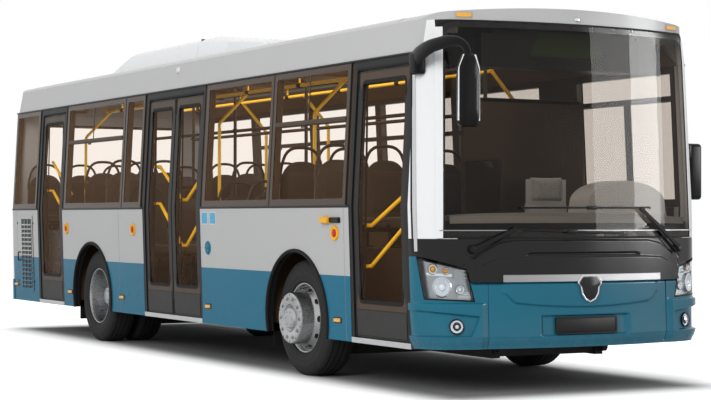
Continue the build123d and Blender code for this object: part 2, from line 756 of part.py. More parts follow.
def tyre_ring(centre_x, centre_y, side):
    """A tyre with bulged walls, rounded shoulders and four tread grooves."""
    half = tyre_width / 2
    groove_pitch = 48
    groove_half = 5
    groove_depth = 13
    tread = tyre_radius
    tread_points = []
    for k in (-1.5, -0.5, 0.5, 1.5):
        y = centre_y + k * groove_pitch
        tread_points += [
            (y - groove_half, tread), (y - groove_half + 1.5, tread - groove_depth),
            (y + groove_half - 1.5, tread - groove_depth), (y + groove_half, tread),
        ]
    profile = [(centre_y - half + 26, rim_radius - 14), (centre_y - half + 10, rim_radius + 8)]
    profile += [(centre_y - half, rim_radius + 70), (centre_y - half + 8, tread - 45), (centre_y - half + 24, tread - 10)]
    profile += [(centre_y - half + 40, tread - 2)] + tread_points + [(centre_y + half - 40, tread - 2)]
    profile += [(centre_y + half - 24, tread - 10), (centre_y + half - 8, tread - 45), (centre_y + half, rim_radius + 70)]
    profile += [(centre_y + half - 10, rim_radius + 8), (centre_y + half - 26, rim_radius - 14)]
    return ring(profile, centre_x, side)


wheel_parts = []
for label, side in (("left", 1), ("right", -1)):
    tyre = tyre_ring(front_axle_x, front_wheel_centre_y, side)
    tyre.label = "front_tyre_" + label
    wheel_parts.append(tyre)

    inner_edge = front_wheel_centre_y - tyre_width / 2 + 26
    outer_edge = front_wheel_centre_y + tyre_width / 2 - 26
    disc = wheel_disc_y
    with BuildPart() as rim:
        add(ring([
            (inner_edge, rim_radius - 14), (outer_edge, rim_radius - 14), (outer_edge + 6, rim_radius - 7),
            (outer_edge + 6, rim_radius - 18), (outer_edge - 20, rim_radius - 26), (inner_edge, rim_radius - 26),
        ], front_axle_x, side))
        add(ring([
            (outer_edge - 34, rim_radius - 26), (outer_edge - 34, rim_radius - 40), (disc + 70, hub_flange_radius + 6),
            (hub_face_y - 30, hub_flange_radius), (hub_face_y, hub_flange_radius - 6), (hub_face_y, 96),
            (hub_face_y - 22, 92), (hub_face_y - 22, 88), (hub_face_y + 6, 80), (hub_face_y + 6, 0.01),
            (disc + 64, 0.01), (disc + 64, stub_radius + running_clearance), (disc - 30, stub_radius + running_clearance),
            (disc - 30, 100), (hub_face_y - 45, 120), (hub_face_y - 45, hub_flange_radius - 22),
            (disc + 56, hub_flange_radius - 14), (outer_edge - 50, rim_radius - 44), (outer_edge - 50, rim_radius - 26),
        ], front_axle_x, side))
    rim.part.label = "front_rim_" + label
    wheel_parts.append(rim.part)

twin_outer_y = tyre_face_y - tyre_width / 2
twin_inner_y = twin_outer_y - tyre_width - twin_gap
rear_stub_radius = 60
for label, side in (("left", 1), ("right", -1)):
    with BuildPart() as twin:
        add(tyre_ring(rear_axle_x, twin_outer_y, side))
        add(tyre_ring(rear_axle_x, twin_inner_y, side))
    twin.part.label = "rear_tyres_" + label
    wheel_parts.append(twin.part)
    outer_edge = twin_outer_y + tyre_width / 2 - 26
    inner_edge = twin_inner_y - tyre_width / 2 + 26
    disc = (twin_outer_y + twin_inner_y) / 2
    with BuildPart() as rim:
        add(ring([
            (inner_edge, rim_radius - 14), (outer_edge, rim_radius - 14), (outer_edge + 6, rim_radius - 7),
            (outer_edge + 6, rim_radius - 18), (outer_edge - 20, rim_radius - 26), (inner_edge, rim_radius - 26),
        ], rear_axle_x, side))
        add(ring([
            (disc - 12, rim_radius - 26), (disc - 12, 150), (disc - 60, 140), (disc - 60, rear_stub_radius + running_clearance),
            (disc + 150, rear_stub_radius + running_clearance), (disc + 150, 0.01), (disc + 190, 0.01),
            (disc + 190, 70), (disc + 160, 92), (disc + 20, 150), (disc + 12, rim_radius - 26),
        ], rear_axle_x, side))
    rim.part.label = "rear_rims_" + label
    wheel_parts.append(rim.part)

portal_outer_y = twin_inner_y - tyre_width / 2 - 8
portal_leg = 64
with BuildPart() as rear_axle:
    add(block(rear_axle_x - 90, rear_axle_x + 90, -portal_outer_y, portal_outer_y, beam_z0, beam_z1))
    for side in (-1, 1):
        y0, y1 = sorted((side * (portal_outer_y - portal_leg), side * (portal_outer_y + 60)))
        with Locations(Location((rear_axle_x, (y0 + y1) / 2, tyre_radius), (90, 0, 0))):
            Cylinder(135, y1 - y0)
        y0, y1 = sorted((side * (portal_outer_y - portal_leg), side * portal_outer_y))
        add(block(rear_axle_x - 90, rear_axle_x + 90, y0, y1, beam_z0, tyre_radius))
        stub_end = disc + 145
        y0, y1 = sorted((side * portal_outer_y, side * stub_end))
        with Locations(Location((rear_axle_x, (y0 + y1) / 2, tyre_radius), (90, 0, 0))):
            Cylinder(rear_stub_radius, y1 - y0)
        with Locations((rear_axle_x, side * 380, (beam_z1 + deck_bottom_z) / 2)):
            Cylinder(spring_radius, deck_bottom_z - beam_z1)
rear_axle.part.label = "rear_axle"


# ================= driver's place =================

driver_y = 600
cab_wall_x = 3030
cab_wall_inner_y = -50
cab_wall_top_z = 2240
podium_top_z = 520
dash_top_z = 1245
dash_rear_x = 4265
console_rear_x = 4100
console_right_y = -120
lining_half_width = 1110
binnacle_half = 370
binnacle_side_z = 1390
binnacle_top_z = 1500
binnacle_depth = 230
with BuildPart() as driver_cab:
    add(block(cab_wall_x, deck_front_x - 2, 50, platform_half_width, deck_top_z, podium_top_z))
    add(block(cab_wall_x, cab_wall_x + 30, cab_wall_inner_y, 1128, deck_top_z, cab_wall_top_z))
driver_cab.part.label = "driver_cab"

with BuildPart() as dashboard:
    add(front_cap(front_skin + 0.3))
    add(block(dash_rear_x, 4900, -lining_half_width, lining_half_width, 460, dash_top_z), mode=Mode.INTERSECT)
    add(block(console_rear_x, dash_rear_x + 1, console_right_y, lining_half_width, podium_top_z, dash_top_z))
    with BuildSketch(Plane.YZ.offset(console_rear_x + 20)):
        with BuildLine():
            Line((driver_y - binnacle_half, dash_top_z - 5), (driver_y + binnacle_half, dash_top_z - 5))
            Line((driver_y + binnacle_half, dash_top_z - 5), (driver_y + binnacle_half - 30, binnacle_side_z))
            ThreePointArc(
                (driver_y + binnacle_half - 30, binnacle_side_z), (driver_y, binnacle_top_z),
                (driver_y - binnacle_half + 30, binnacle_side_z),
            )
            Line((driver_y - binnacle_half + 30, binnacle_side_z), (driver_y - binnacle_half, dash_top_z - 5))
        make_face()
    extrude(amount=binnacle_depth)
dashboard.part.label = "dashboard"

wheel_centre = (3870, driver_y, 1165)
wheel_tilt = 30
wheel_lean = math.radians(wheel_tilt)
wheel_radius = 225
wheel_grip = 28
column_foot_x = 4030
with BuildPart() as steering_wheel:
    with BuildSketch(Plane(origin=wheel_centre, x_dir=(0, 1, 0), z_dir=(-math.sin(wheel_lean), 0, math.cos(wheel_lean)))):
        Circle(wheel_radius)
        Circle(wheel_radius - wheel_grip, mode=Mode.SUBTRACT)
        for angle in (0, 120, 240):
            with Locations(Location((0, 0, 0), angle)):
                with Locations((102, 0)):
                    Rectangle(200, 36)
        Circle(62)
    extrude(amount=26)
    column_top = (wheel_centre[0] - 4, driver_y, wheel_centre[2] + 7)
    add(tube([column_top, (column_foot_x, driver_y, podium_top_z + 20)], 38))
    with Locations((column_foot_x, driver_y, podium_top_z + 12)):
        Cylinder(60, 24)
steering_wheel.part.label = "steering_wheel"

seat_width = 420
seat_depth = 410
back_height = 620


def seat(back_x, centre_y, base_z, cushion_top_z, facing):
    """A seat: cushion, rounded backrest and a pedestal down to what carries it."""
    front_x = back_x + facing * seat_depth
    x0, x1 = sorted((back_x, front_x))
    back0, back1 = sorted((back_x, back_x - facing * 60))
    with BuildPart(mode=Mode.PRIVATE) as one:
        add(block(min(x0, back0), max(x1, back1), centre_y - seat_width / 2, centre_y + seat_width / 2, cushion_top_z - 90, cushion_top_z))
        with BuildSketch(Plane.YZ.offset(back0)):
            with Locations((centre_y, cushion_top_z + back_height / 2 - 45)):
                RectangleRounded(seat_width, back_height + 90, 120)
        extrude(amount=60)
        add(block(back0, back1, centre_y - seat_width / 2, centre_y + seat_width / 2, cushion_top_z - 90, cushion_top_z))
        if cushion_top_z - 90 > base_z:
            mid = (x0 + x1) / 2
            add(block(mid - 110, mid + 110, centre_y - 60, centre_y + 60, base_z, cushion_top_z - 90))
    return one.part


driver_seat_x = 3330
driver_cushion_z = 980
# Passenger seats: back x, base z, cushion top z, facing, row of y places.
right_pair = (-920, -480)
left_pair = (480, 920)
house_z = wheelhouse_top_z
low_z = deck_top_z
seat_rows = [
    (-4640, platform_top_z, 1290, 1, (-880, -440, 0, 440, 880)),
    (-2660, house_z, 1270, 1, right_pair),
    (-2040, house_z, 1270, 1, right_pair),
    (-1440, low_z, 1000, 1, right_pair),
    (700, low_z, 1000, 1, right_pair),
    (1320, low_z, 1000, 1, right_pair),
    (1960, house_z, 1270, 1, right_pair),
    (2590, house_z, 1270, 1, right_pair),
    (-3560, low_z, 1000, 1, left_pair),
    (-2660, house_z, 1270, 1, left_pair),
    (-2040, house_z, 1270, 1, left_pair),
    (-1440, low_z, 1000, 1, left_pair),
    (1320, low_z, 1000, 1, left_pair),
    (1960, house_z, 1270, 1, left_pair),
    (2590, house_z, 1270, 1, left_pair),
]
with BuildPart() as seats:
    add(seat(driver_seat_x, driver_y, podium_top_z, driver_cushion_z, 1))
    for back_x, base_z, cushion_z, facing, places in seat_rows:
        for place_y in places:
            add(seat(back_x, place_y, base_z, cushion_z, facing))
seats.part.label = "seats"

grab_y = 225
grab_rail_z = 2120
grab_radius = 16
post_places = [-2960, -900, 640, 1700, 2960]
with BuildPart() as handrails:
    for side in (-1, 1):
        add(tube([(post_places[0], side * grab_y, grab_rail_z), (post_places[-1], side * grab_y, grab_rail_z)], grab_radius))
        for place_x in post_places:
            with Locations((place_x, side * grab_y, (deck_top_z + ceiling_z) / 2)):
                Cylinder(grab_radius, ceiling_z - deck_top_z)
handrails.part.label = "handrails"

display_front_x = front_x - 250
display_depth = 220
display_height = 240
display_top_z = screen_top_z - 80
with BuildPart() as destination_display:
    add(block(display_front_x - display_depth, display_front_x, -750, 660, display_top_z - display_height, display_top_z))
destination_display.part.label = "destination_display"

# ================= mirrors and wipers =================

mirror_base_x = side_front_x + 5
mirror_arm_radius = 28
mirror_head = (84, 165, 520)                   # depth, width, height
mirror_head_centre = (4872, -1140, 2150)
small_head = (64, 130, 440)
small_head_centre = (4262, 1315, 1630)
mirror_arm = [(4260, -1222, 2375), (4450, -1235, 2455), (4700, -1200, 2490), (4850, -1150, 2460), (4870, -1140, 2380)]
small_arm = [(4262, 1245, 1785), (4262, 1310, 1830)]
with BuildPart() as mirrors:
    add(block(mirror_base_x, mirror_base_x + 105, -belt_half_width, -1100, 2290, eaves_z))
    add(front_outer, mode=Mode.SUBTRACT)
    add(tube(mirror_arm, mirror_arm_radius))
    with Locations(mirror_head_centre):
        Box(*mirror_head)
    add(block(mirror_base_x, mirror_base_x + 72, 1100, belt_half_width + 12, 1720, 1850))
    add(front_outer, mode=Mode.SUBTRACT)
    add(tube(small_arm, 16))
    with Locations(small_head_centre):
        Box(*small_head)
mirrors.part.label = "mirrors"

# Wipers: pivot, knee and two blade ends of each, as (y, z) in the front view.
wiper_points = [
    ((-900, 1045), (-580, 1193), (-610, 1187), (340, 1158)),
    ((925, 1045), (500, 1345), (-540, 1341), (615, 1346)),
]


def front_x_at(y, z):
    """X of the front's outer surface at a place in the front view, inside its bow."""
    bow_x = front_x - front_rake * (z - front_rake_zero_z) - front_bow_radius
    return bow_x + math.sqrt(front_bow_radius**2 - y**2)


def on_screen(point, proud):
    """A front-view point put that far in front of the outer surface."""
    y, z = point
    return (front_x_at(y, z) + proud, y, z)


with BuildPart() as wipers:
    for pivot, knee, low_end, high_end in wiper_points:
        with Locations(Location(on_screen(pivot, 8), (0, 90, 0))):
            Cylinder(26, 60)
        add(front_outer, mode=Mode.SUBTRACT)
        add(tube([on_screen(pivot, 32), on_screen(knee, 30)], 11))
        blade_middle = ((low_end[0] + high_end[0]) / 2, (low_end[1] + high_end[1]) / 2)
        add(tube([on_screen(low_end, 22), on_screen(blade_middle, 22), on_screen(high_end, 22)], 8))
wipers.part.label = "wipers"

pieces = [
    roof, roof_unit, side_lower_left, side_lower_right, window_frames, side_glass,
    rear_window, rear_wall, engine_hatch, rear_bumper, windscreen, front_pillars, front_apron, front_bumper, lamps,
    door_frames, floor_deck, wheelhouses, rear_platform, engine, underframe, front_axle, rear_axle,
    driver_cab, dashboard, steering_wheel, seats, handrails, destination_display, mirrors, wipers,
]
for part in [piece.part for piece in pieces] + leaf_parts + knuckle_parts + wheel_parts:
    export_step(part, "parts/" + part.label + ".step")
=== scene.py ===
"""Low-floor city bus: finishes, trim, lamps, wheels, seats and rails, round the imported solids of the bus.

Lengths are metres in the bus's own frame: +X forward, +Y to the driver's side, +Z up, ground at 0.
"""

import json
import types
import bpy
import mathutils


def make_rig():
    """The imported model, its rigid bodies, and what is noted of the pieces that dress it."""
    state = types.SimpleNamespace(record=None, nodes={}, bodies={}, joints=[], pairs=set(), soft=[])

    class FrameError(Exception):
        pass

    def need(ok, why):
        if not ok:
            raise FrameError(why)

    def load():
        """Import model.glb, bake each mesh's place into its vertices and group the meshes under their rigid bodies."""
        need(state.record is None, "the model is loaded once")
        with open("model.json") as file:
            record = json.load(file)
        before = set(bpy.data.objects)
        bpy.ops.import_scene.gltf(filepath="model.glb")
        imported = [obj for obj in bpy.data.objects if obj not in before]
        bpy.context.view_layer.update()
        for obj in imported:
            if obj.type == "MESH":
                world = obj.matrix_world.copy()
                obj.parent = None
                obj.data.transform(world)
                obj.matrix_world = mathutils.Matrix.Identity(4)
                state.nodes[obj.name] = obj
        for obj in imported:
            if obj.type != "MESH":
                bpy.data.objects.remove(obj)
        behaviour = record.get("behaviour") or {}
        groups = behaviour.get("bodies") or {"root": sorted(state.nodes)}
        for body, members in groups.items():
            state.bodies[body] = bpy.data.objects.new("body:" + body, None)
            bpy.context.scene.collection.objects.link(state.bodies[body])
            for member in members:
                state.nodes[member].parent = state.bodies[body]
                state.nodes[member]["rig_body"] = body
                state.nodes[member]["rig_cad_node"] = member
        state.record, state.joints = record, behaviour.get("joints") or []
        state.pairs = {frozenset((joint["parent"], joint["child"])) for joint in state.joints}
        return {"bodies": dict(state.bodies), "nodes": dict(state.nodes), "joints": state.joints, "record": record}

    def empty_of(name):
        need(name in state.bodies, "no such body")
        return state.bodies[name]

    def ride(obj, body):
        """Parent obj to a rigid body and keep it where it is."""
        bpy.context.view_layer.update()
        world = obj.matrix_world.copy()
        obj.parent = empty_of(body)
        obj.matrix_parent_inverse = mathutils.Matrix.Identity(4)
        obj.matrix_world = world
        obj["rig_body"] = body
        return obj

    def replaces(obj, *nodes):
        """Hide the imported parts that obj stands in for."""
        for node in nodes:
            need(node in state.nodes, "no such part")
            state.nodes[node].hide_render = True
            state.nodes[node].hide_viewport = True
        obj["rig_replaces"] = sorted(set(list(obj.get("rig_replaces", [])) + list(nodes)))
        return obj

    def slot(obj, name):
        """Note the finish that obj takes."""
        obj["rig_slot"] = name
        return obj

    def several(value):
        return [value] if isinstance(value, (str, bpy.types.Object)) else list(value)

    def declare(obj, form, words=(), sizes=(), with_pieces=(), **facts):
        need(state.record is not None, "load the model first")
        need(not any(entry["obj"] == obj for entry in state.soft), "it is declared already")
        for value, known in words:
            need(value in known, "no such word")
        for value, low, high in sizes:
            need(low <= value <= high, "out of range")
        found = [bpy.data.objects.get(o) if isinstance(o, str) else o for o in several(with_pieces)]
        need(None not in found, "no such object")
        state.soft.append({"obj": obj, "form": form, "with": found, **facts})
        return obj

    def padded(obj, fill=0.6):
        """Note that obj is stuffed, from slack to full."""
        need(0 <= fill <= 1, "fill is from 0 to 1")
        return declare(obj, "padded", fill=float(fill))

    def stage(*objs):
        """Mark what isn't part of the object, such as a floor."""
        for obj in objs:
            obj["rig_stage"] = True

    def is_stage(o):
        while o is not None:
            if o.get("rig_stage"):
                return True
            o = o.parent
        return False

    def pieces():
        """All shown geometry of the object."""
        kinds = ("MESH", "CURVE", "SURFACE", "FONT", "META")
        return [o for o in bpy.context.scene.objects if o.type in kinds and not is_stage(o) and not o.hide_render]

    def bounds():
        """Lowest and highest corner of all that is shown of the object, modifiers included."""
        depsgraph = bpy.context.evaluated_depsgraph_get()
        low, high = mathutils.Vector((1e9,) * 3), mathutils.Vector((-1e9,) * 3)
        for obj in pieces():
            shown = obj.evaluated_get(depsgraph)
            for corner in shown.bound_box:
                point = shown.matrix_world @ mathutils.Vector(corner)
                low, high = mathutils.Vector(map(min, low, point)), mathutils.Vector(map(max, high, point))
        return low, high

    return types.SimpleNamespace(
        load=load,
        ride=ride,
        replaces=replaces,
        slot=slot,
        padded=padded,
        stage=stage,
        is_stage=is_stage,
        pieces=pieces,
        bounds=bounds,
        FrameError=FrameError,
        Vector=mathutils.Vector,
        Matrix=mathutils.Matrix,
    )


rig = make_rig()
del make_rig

bl_info = {
    "name": "Low-Floor City Bus",
    "version": (1, 0, 0),
    "blender": (4, 5, 0),
    "location": "3D View > Sidebar > City Bus",
    "description": "Finishes, trim, lamps, wheels, seats and rails of a low-floor city bus",
    "category": "Object",
}

import json
import math
import sys

import bpy
import numpy as np
from bpy.props import FloatProperty, FloatVectorProperty, IntProperty, PointerProperty

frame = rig.load()
cad_box = [list(corner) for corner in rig.bounds()]
nodes = frame["nodes"]

# ---- the body's own measures, as the solids have them ----
SIDE_LEVELS = [0.0, 1.355, 2.45, 2.69]            # heights at which the side changes its lean
SIDE_HALF_WIDTHS = [1.20373, 1.25, 1.192, 1.15]
FRONT_X, FRONT_BOW, FRONT_CORNER, FRONT_RAKE, FRONT_RAKE_Z = 4.67, 3.33, 0.26, 0.042, 0.9
REAR_X, REAR_BOW, REAR_CORNER, REAR_RAKE, REAR_RAKE_Z = -4.95, 9.0, 0.12, 0.05, 0.33
AXLE_Z = 0.465
FRONT_AXLE_X, REAR_AXLE_X = 2.42, -2.21
BELT_Z, EAVES_Z = 1.355, 2.45
FLOOR_Z, SILL_Z = 0.365, 0.33
STRIPE_Z = 0.826                                  # top of the blue band
RIGHT, LEFT = -1, 1
SIDE_REAR_X, SIDE_FRONT_X = -4.73, 4.233
ARCH_RADIUS = 0.53
DOORWAYS = {"rear": (-3.866, -3.060), "middle": (-0.795, 0.567), "front": (3.342, 4.233)}
HEADER_Z = 2.375

# Side panes: rear edge, front edge, height of the transom or 0, and the place of a thin upright or None.
RIGHT_PANES = [(-4.727, -3.900, 0, None), (-3.015, -1.340, 2.058, -2.211), (-1.340, -0.840, 0, None),
               (0.612, 1.970, 0, None), (1.970, 3.297, 2.025, 2.623)]
LEFT_PANES = [(-4.727, -3.350, 0, None), (-3.350, -1.900, 2.058, None), (-1.900, -0.450, 2.058, None),
              (-0.450, 1.000, 2.058, None), (1.000, 2.450, 2.058, None), (2.900, 4.230, 0, None)]
DRIVER_TRANSOM_Z = 2.20
PANE_LOW_Z, PANE_HIGH_Z = 1.416, 2.395
PANE_MARGIN = 0.055

# Door leaves: body, pivot edge, closing edge.
LEAVES = [("door_rear", -3.814, -3.118), ("door_middle_rear", -0.743, -0.124),
          ("door_middle_front", 0.515, -0.104), ("door_front", 4.181, 3.400)]
LEAF_RECESS = 0.012
LEAF_BORDER = 0.070


# ============================== shapes ==============================

class Form:
    """A shape as an array of points and arrays of faces, one array for each number of corners."""

    def __init__(self, points, faces):
        self.points = np.asarray(points, float).reshape(-1, 3)
        self.faces = [np.asarray(block, int) for block in faces if len(block)]

    def __add__(self, other):
        return together([self, other])

    def mirrored(self):
        """The same shape on the other side of the middle plane, with its faces still outwards."""
        return Form(self.points * np.array([1, -1, 1]), [block[:, ::-1] for block in self.faces])

    def flipped(self):
        return Form(self.points, [block[:, ::-1] for block in self.faces])


def together(forms):
    """One shape from several."""
    forms = list(forms)
    counts = np.cumsum([0] + [len(form.points) for form in forms])
    faces = [block + shift for form, shift in zip(forms, counts) for block in form.faces]
    return Form(np.vstack([form.points for form in forms]), faces)


def both(forms):
    """Shapes and their mirror images on the other side of the middle plane, as one."""
    form = together(forms)
    return form + form.mirrored()


def grid_faces(rows, columns, close_rows=False, close_columns=False):
    """Four-cornered faces of a grid of points numbered row by row, wrapped where a direction is closed."""
    i = np.arange(rows if close_rows else rows - 1)
    j = np.arange(columns if close_columns else columns - 1)
    i, j = [part.ravel() for part in np.meshgrid(i, j, indexing="ij")]
    k, m = (i + 1) % rows, (j + 1) % columns
    return np.column_stack([i * columns + j, k * columns + j, k * columns + m, i * columns + m])


def outline_faces(rows, columns, ring=False):
    """Faces of closed outlines joined one to the next, then capped at both ends, or from the last back to the
    first as a ring."""
    faces = [grid_faces(rows, columns, ring, True)]
    if not ring:
        first = np.arange(columns)
        faces += [first[None, :], (first[::-1] + (rows - 1) * columns)[None, :]]
    return faces


def arrays(*values):
    """Numbers and arrays as arrays of one size."""
    return np.broadcast_arrays(*[np.asarray(value, float) for value in values])


def unit(vectors):
    """The same directions with a length of 1."""
    return vectors / np.linalg.norm(vectors, axis=-1, keepdims=True)


def half_width(z):
    """Half the body's width at a height: straight lines between the levels."""
    return np.interp(z, SIDE_LEVELS, SIDE_HALF_WIDTHS)


def around(s, z, out, x_end, bow, corner, rake, rake_z, ahead):
    """Points round an end of the body: s runs along a bow of one radius, then a tangent corner arc, then
    straight back along the side, at height z and a distance out from the skin. The end leans by its rake."""
    s, z, out = arrays(s, z, out)
    centre_x = ahead * x_end - rake * (z - rake_z) - bow
    corner_y = half_width(z) - corner
    corner_x = centre_x + np.sqrt((bow - corner) ** 2 - corner_y ** 2)
    turn = np.arctan2(corner_y, corner_x - centre_x)
    t, side = np.abs(s), np.where(s < 0, -1.0, 1.0)
    bow_angle = np.minimum(t / bow, turn)
    corner_angle = turn + np.clip((t - bow * turn) / corner, 0, math.pi / 2 - turn)
    straight = np.maximum(t - bow * turn - corner * (math.pi / 2 - turn), 0)
    on_bow = t <= bow * turn
    x = np.where(on_bow, centre_x + (bow + out) * np.cos(bow_angle),
                 corner_x + (corner + out) * np.cos(corner_angle) - straight)
    y = np.where(on_bow, (bow + out) * np.sin(bow_angle), corner_y + (corner + out) * np.sin(corner_angle))
    return np.stack([ahead * x, side * y, z], axis=-1)


def on_front(s, z, out=0.0):
    """Points on the front skin, s metres round from the middle, out metres in front of it."""
    return around(s, z, out, FRONT_X, FRONT_BOW, FRONT_CORNER, FRONT_RAKE, FRONT_RAKE_Z, 1)


def on_rear(s, z, out=0.0):
    """Points on the rear skin, s metres round from the middle, out metres behind it."""
    return around(s, z, out, REAR_X, REAR_BOW, REAR_CORNER, REAR_RAKE, REAR_RAKE_Z, -1)


def front_s(y, z):
    """Distance round the front skin of a point seen at y in the front view, found along the plan outline."""
    run = np.linspace(0, 1.75, 1400)
    outline = on_front(run, float(np.mean(z)))
    return np.sign(y) * np.interp(np.abs(y), outline[:, 1], run)


def front_s_at_x(x, z):
    """Distance round the front skin of a point seen at x in the side view."""
    run = np.linspace(0.9, 1.75, 900)
    outline = on_front(run, z)
    return float(np.interp(-x, -outline[:, 0], run))


def deep_side(side, depth=0.0):
    """A body side's skin, sunk by a depth: points at x and z, out metres outside it."""
    def place(x, z, out):
        x, z, out = arrays(x, z, out)
        return np.stack([x, side * (half_width(z) + (out - depth)), z], axis=-1)
    return place


def flat_at(x=None, y=None):
    """A flat skin square to X or to Y: (a, b) are (y, z) or (x, z), and out goes along the axis."""
    def place(a, b, out):
        a, b, out = arrays(a, b, out)
        return np.stack([x + out, a, b] if y is None else [a, y + out, b], axis=-1)
    return place


def outward(form):
    """The same closed shape with its faces pointing out: its signed volume, summed over fans of triangles, is
    positive."""
    points = form.points - form.points.mean(axis=0)
    volume = 0.0
    for block in form.faces:
        for k in range(1, block.shape[1] - 1):
            volume += np.sum(points[block[:, 0]] * np.cross(points[block[:, k]], points[block[:, k + 1]]))
    return form if volume > 0 else form.flipped()


def between(base, top):
    """A closed shape between two like-sized grids of points: both sheets, and a wall round their edges."""
    rows, columns = base.shape[:2]
    count = rows * columns
    sheet = grid_faces(rows, columns)
    index = np.arange(count).reshape(rows, columns)
    rim = np.concatenate([index[:, 0], index[-1, 1:], index[-2::-1, -1], index[0, -2:0:-1]])
    ahead = np.roll(rim, -1)
    wall = np.column_stack([rim, ahead, ahead + count, rim + count])
    points = np.concatenate([base.reshape(-1, 3), top.reshape(-1, 3)])
    return outward(Form(points, [sheet[:, ::-1], sheet + count, wall]))


def slab(surface, rows, columns, low, high):
    """A closed slab over a surface(u, v, out) with u and v from 0 to 1, between two depths."""
    u, v = np.meshgrid(np.linspace(0, 1, rows), np.linspace(0, 1, columns), indexing="ij")
    return between(surface(u, v, low), surface(u, v, high))


def lofted(place, loops, ring=False):
    """A closed shape through like-numbered outlines of (a, b) points on a skin, each with its depth: joined
    one to the next, then capped at both ends, or as a ring from the last back to the first."""
    points = np.stack([place(np.asarray(loop)[:, 0], np.asarray(loop)[:, 1], out) for loop, out in loops])
    return outward(Form(points, outline_faces(*points.shape[:2], ring)))


def frame_plate(place, outer, inner, low, high):
    """A flat ring on a skin between two like-numbered outlines and two depths."""
    return lofted(place, [(outer, low), (outer, high), (inner, high), (inner, low)], ring=True)


def disc_outline(a, b, radius, sides=32, squash=1.0):
    """A circle of (a, b) points."""
    angle = np.arange(sides) * 2 * math.pi / sides
    return np.column_stack([a + radius * np.cos(angle) * squash, b + radius * np.sin(angle)])


def boss(place, a, b, profile, sides=32, squash=1.0):
    """A round form on a skin: circles about (a, b), from (out, radius) points, joined and capped."""
    return lofted(place, [(disc_outline(a, b, radius, sides, squash), out) for out, radius in profile])


def divided(outline, parts):
    """A closed outline with each of its edges cut into equal parts."""
    outline = np.asarray(outline, float)
    share = np.arange(parts)[None, :, None] / parts
    ahead = np.roll(outline, -1, axis=0)
    return (outline[:, None] * (1 - share) + ahead[:, None] * share).reshape(-1, 2)


def box_at(a, b, half_a, half_b):
    """A rectangle's two places each way, from its middle and half its sizes."""
    return a - half_a, a + half_a, b - half_b, b + half_b


def rounded(box, inset, radius, parts=1):
    """A rectangle drawn in by an inset, its corners quarter circles, each edge cut into equal parts."""
    a0, a1, b0, b1 = box
    inset_a, inset_b = np.broadcast_to(inset, 2) + radius
    angle = np.concatenate([np.linspace(0, math.pi / 2, 5) + k * math.pi / 2 for k in range(4)])
    centre_a = np.repeat([a1 - inset_a, a0 + inset_a, a0 + inset_a, a1 - inset_a], 5)
    centre_b = np.repeat([b1 - inset_b, b1 - inset_b, b0 + inset_b, b0 + inset_b], 5)
    outline = np.column_stack([centre_a + radius * np.cos(angle), centre_b + radius * np.sin(angle)])
    return divided(outline, parts)


def raised(place, box, steps, parts=1):
    """A rounded rectangle built up on a skin, from steps of inset, corner radius and depth."""
    return lofted(place, [(rounded(box, inset, radius, parts), out) for inset, radius, out in steps])


def rounded_frame(place, box, outer, inner, low, high, parts=1):
    """A flat frame on a skin between two rounded rectangles, each an inset and a corner radius."""
    return frame_plate(place, rounded(box, *outer, parts), rounded(box, *inner, parts), low, high)


def panel(place, corners, low, high, rows=2, columns=2):
    """A four-cornered slab on a skin: place(a, b, out) gives the skin, and a point of the slab is the
    bilinear mix of the four corners (a, b), which are in order round it."""
    c = np.asarray(corners, float)

    def surface(u, v, out):
        mix = (c[0] * ((1 - u) * (1 - v))[..., None] + c[1] * (u * (1 - v))[..., None]
               + c[2] * (u * v)[..., None] + c[3] * ((1 - u) * v)[..., None])
        return place(mix[..., 0], mix[..., 1], out)

    return slab(surface, rows, columns, low, high)


def patch(place, box, low, high, rows=2, columns=2):
    """A straight rectangular slab on a skin, between two depths."""
    a0, a1, b0, b1 = box
    return panel(place, [(a0, b0), (a1, b0), (a1, b1), (a0, b1)], low, high, rows, columns)


def strip(side, x0, x1, z0, z1, low, high, depth=0.0):
    """A straight strip along a body side, between two heights and two depths."""
    return patch(deep_side(side, depth), (x0, x1, z0, z1), low, high)


def cut_corner(before, corner, after, radius, steps):
    """A corner rounded off by a parabola that leaves its two runs a radius away from it."""
    start, end = corner + unit(before - corner) * radius, corner + unit(after - corner) * radius
    t = np.linspace(0, 1, steps + 1)[:, None]
    return (1 - t) ** 2 * start + 2 * t * (1 - t) * corner + t ** 2 * end


def smooth_path(points, radius, steps=5):
    """A path with its corners rounded, within half of each run."""
    points = np.asarray(points, float)
    out = [points[:1]]
    for before, corner, after in zip(points, points[1:], points[2:]):
        reach = min(radius, np.linalg.norm(before - corner) * 0.49, np.linalg.norm(after - corner) * 0.49)
        out.append(cut_corner(before, corner, after, reach, steps))
    out.append(points[-1:])
    return np.vstack(out)


def swept(path, profile, up=(0.0, 0.0, 1.0), closed=False):
    """A profile of (across, up) points carried along a path, or one profile for each of its points. It stands
    square to the run, its second direction as near to the given up as it can be."""
    path = np.asarray(path, float)
    profile = np.asarray(profile, float)
    if closed:
        run = unit(np.roll(path, -1, axis=0) - np.roll(path, 1, axis=0))
    else:
        run = unit(np.gradient(path, axis=0))
    across = unit(np.cross(run, np.broadcast_to(np.asarray(up, float), path.shape)))
    top = np.cross(across, run)
    points = path[:, None] + profile[..., :1] * across[:, None] + profile[..., 1:] * top[:, None]
    return Form(points, outline_faces(*points.shape[:2], closed))


def round_profile(radius, sides=10):
    """A circle as a profile."""
    return disc_outline(0.0, 0.0, radius, sides)


def tube(points, radius, bend=0.0, sides=10, up=(0.0, 0.0, 1.0)):
    """A round bar along a path whose corners are rounded."""
    path = smooth_path(points, bend) if bend else points
    return swept(path, round_profile(radius, sides), up)


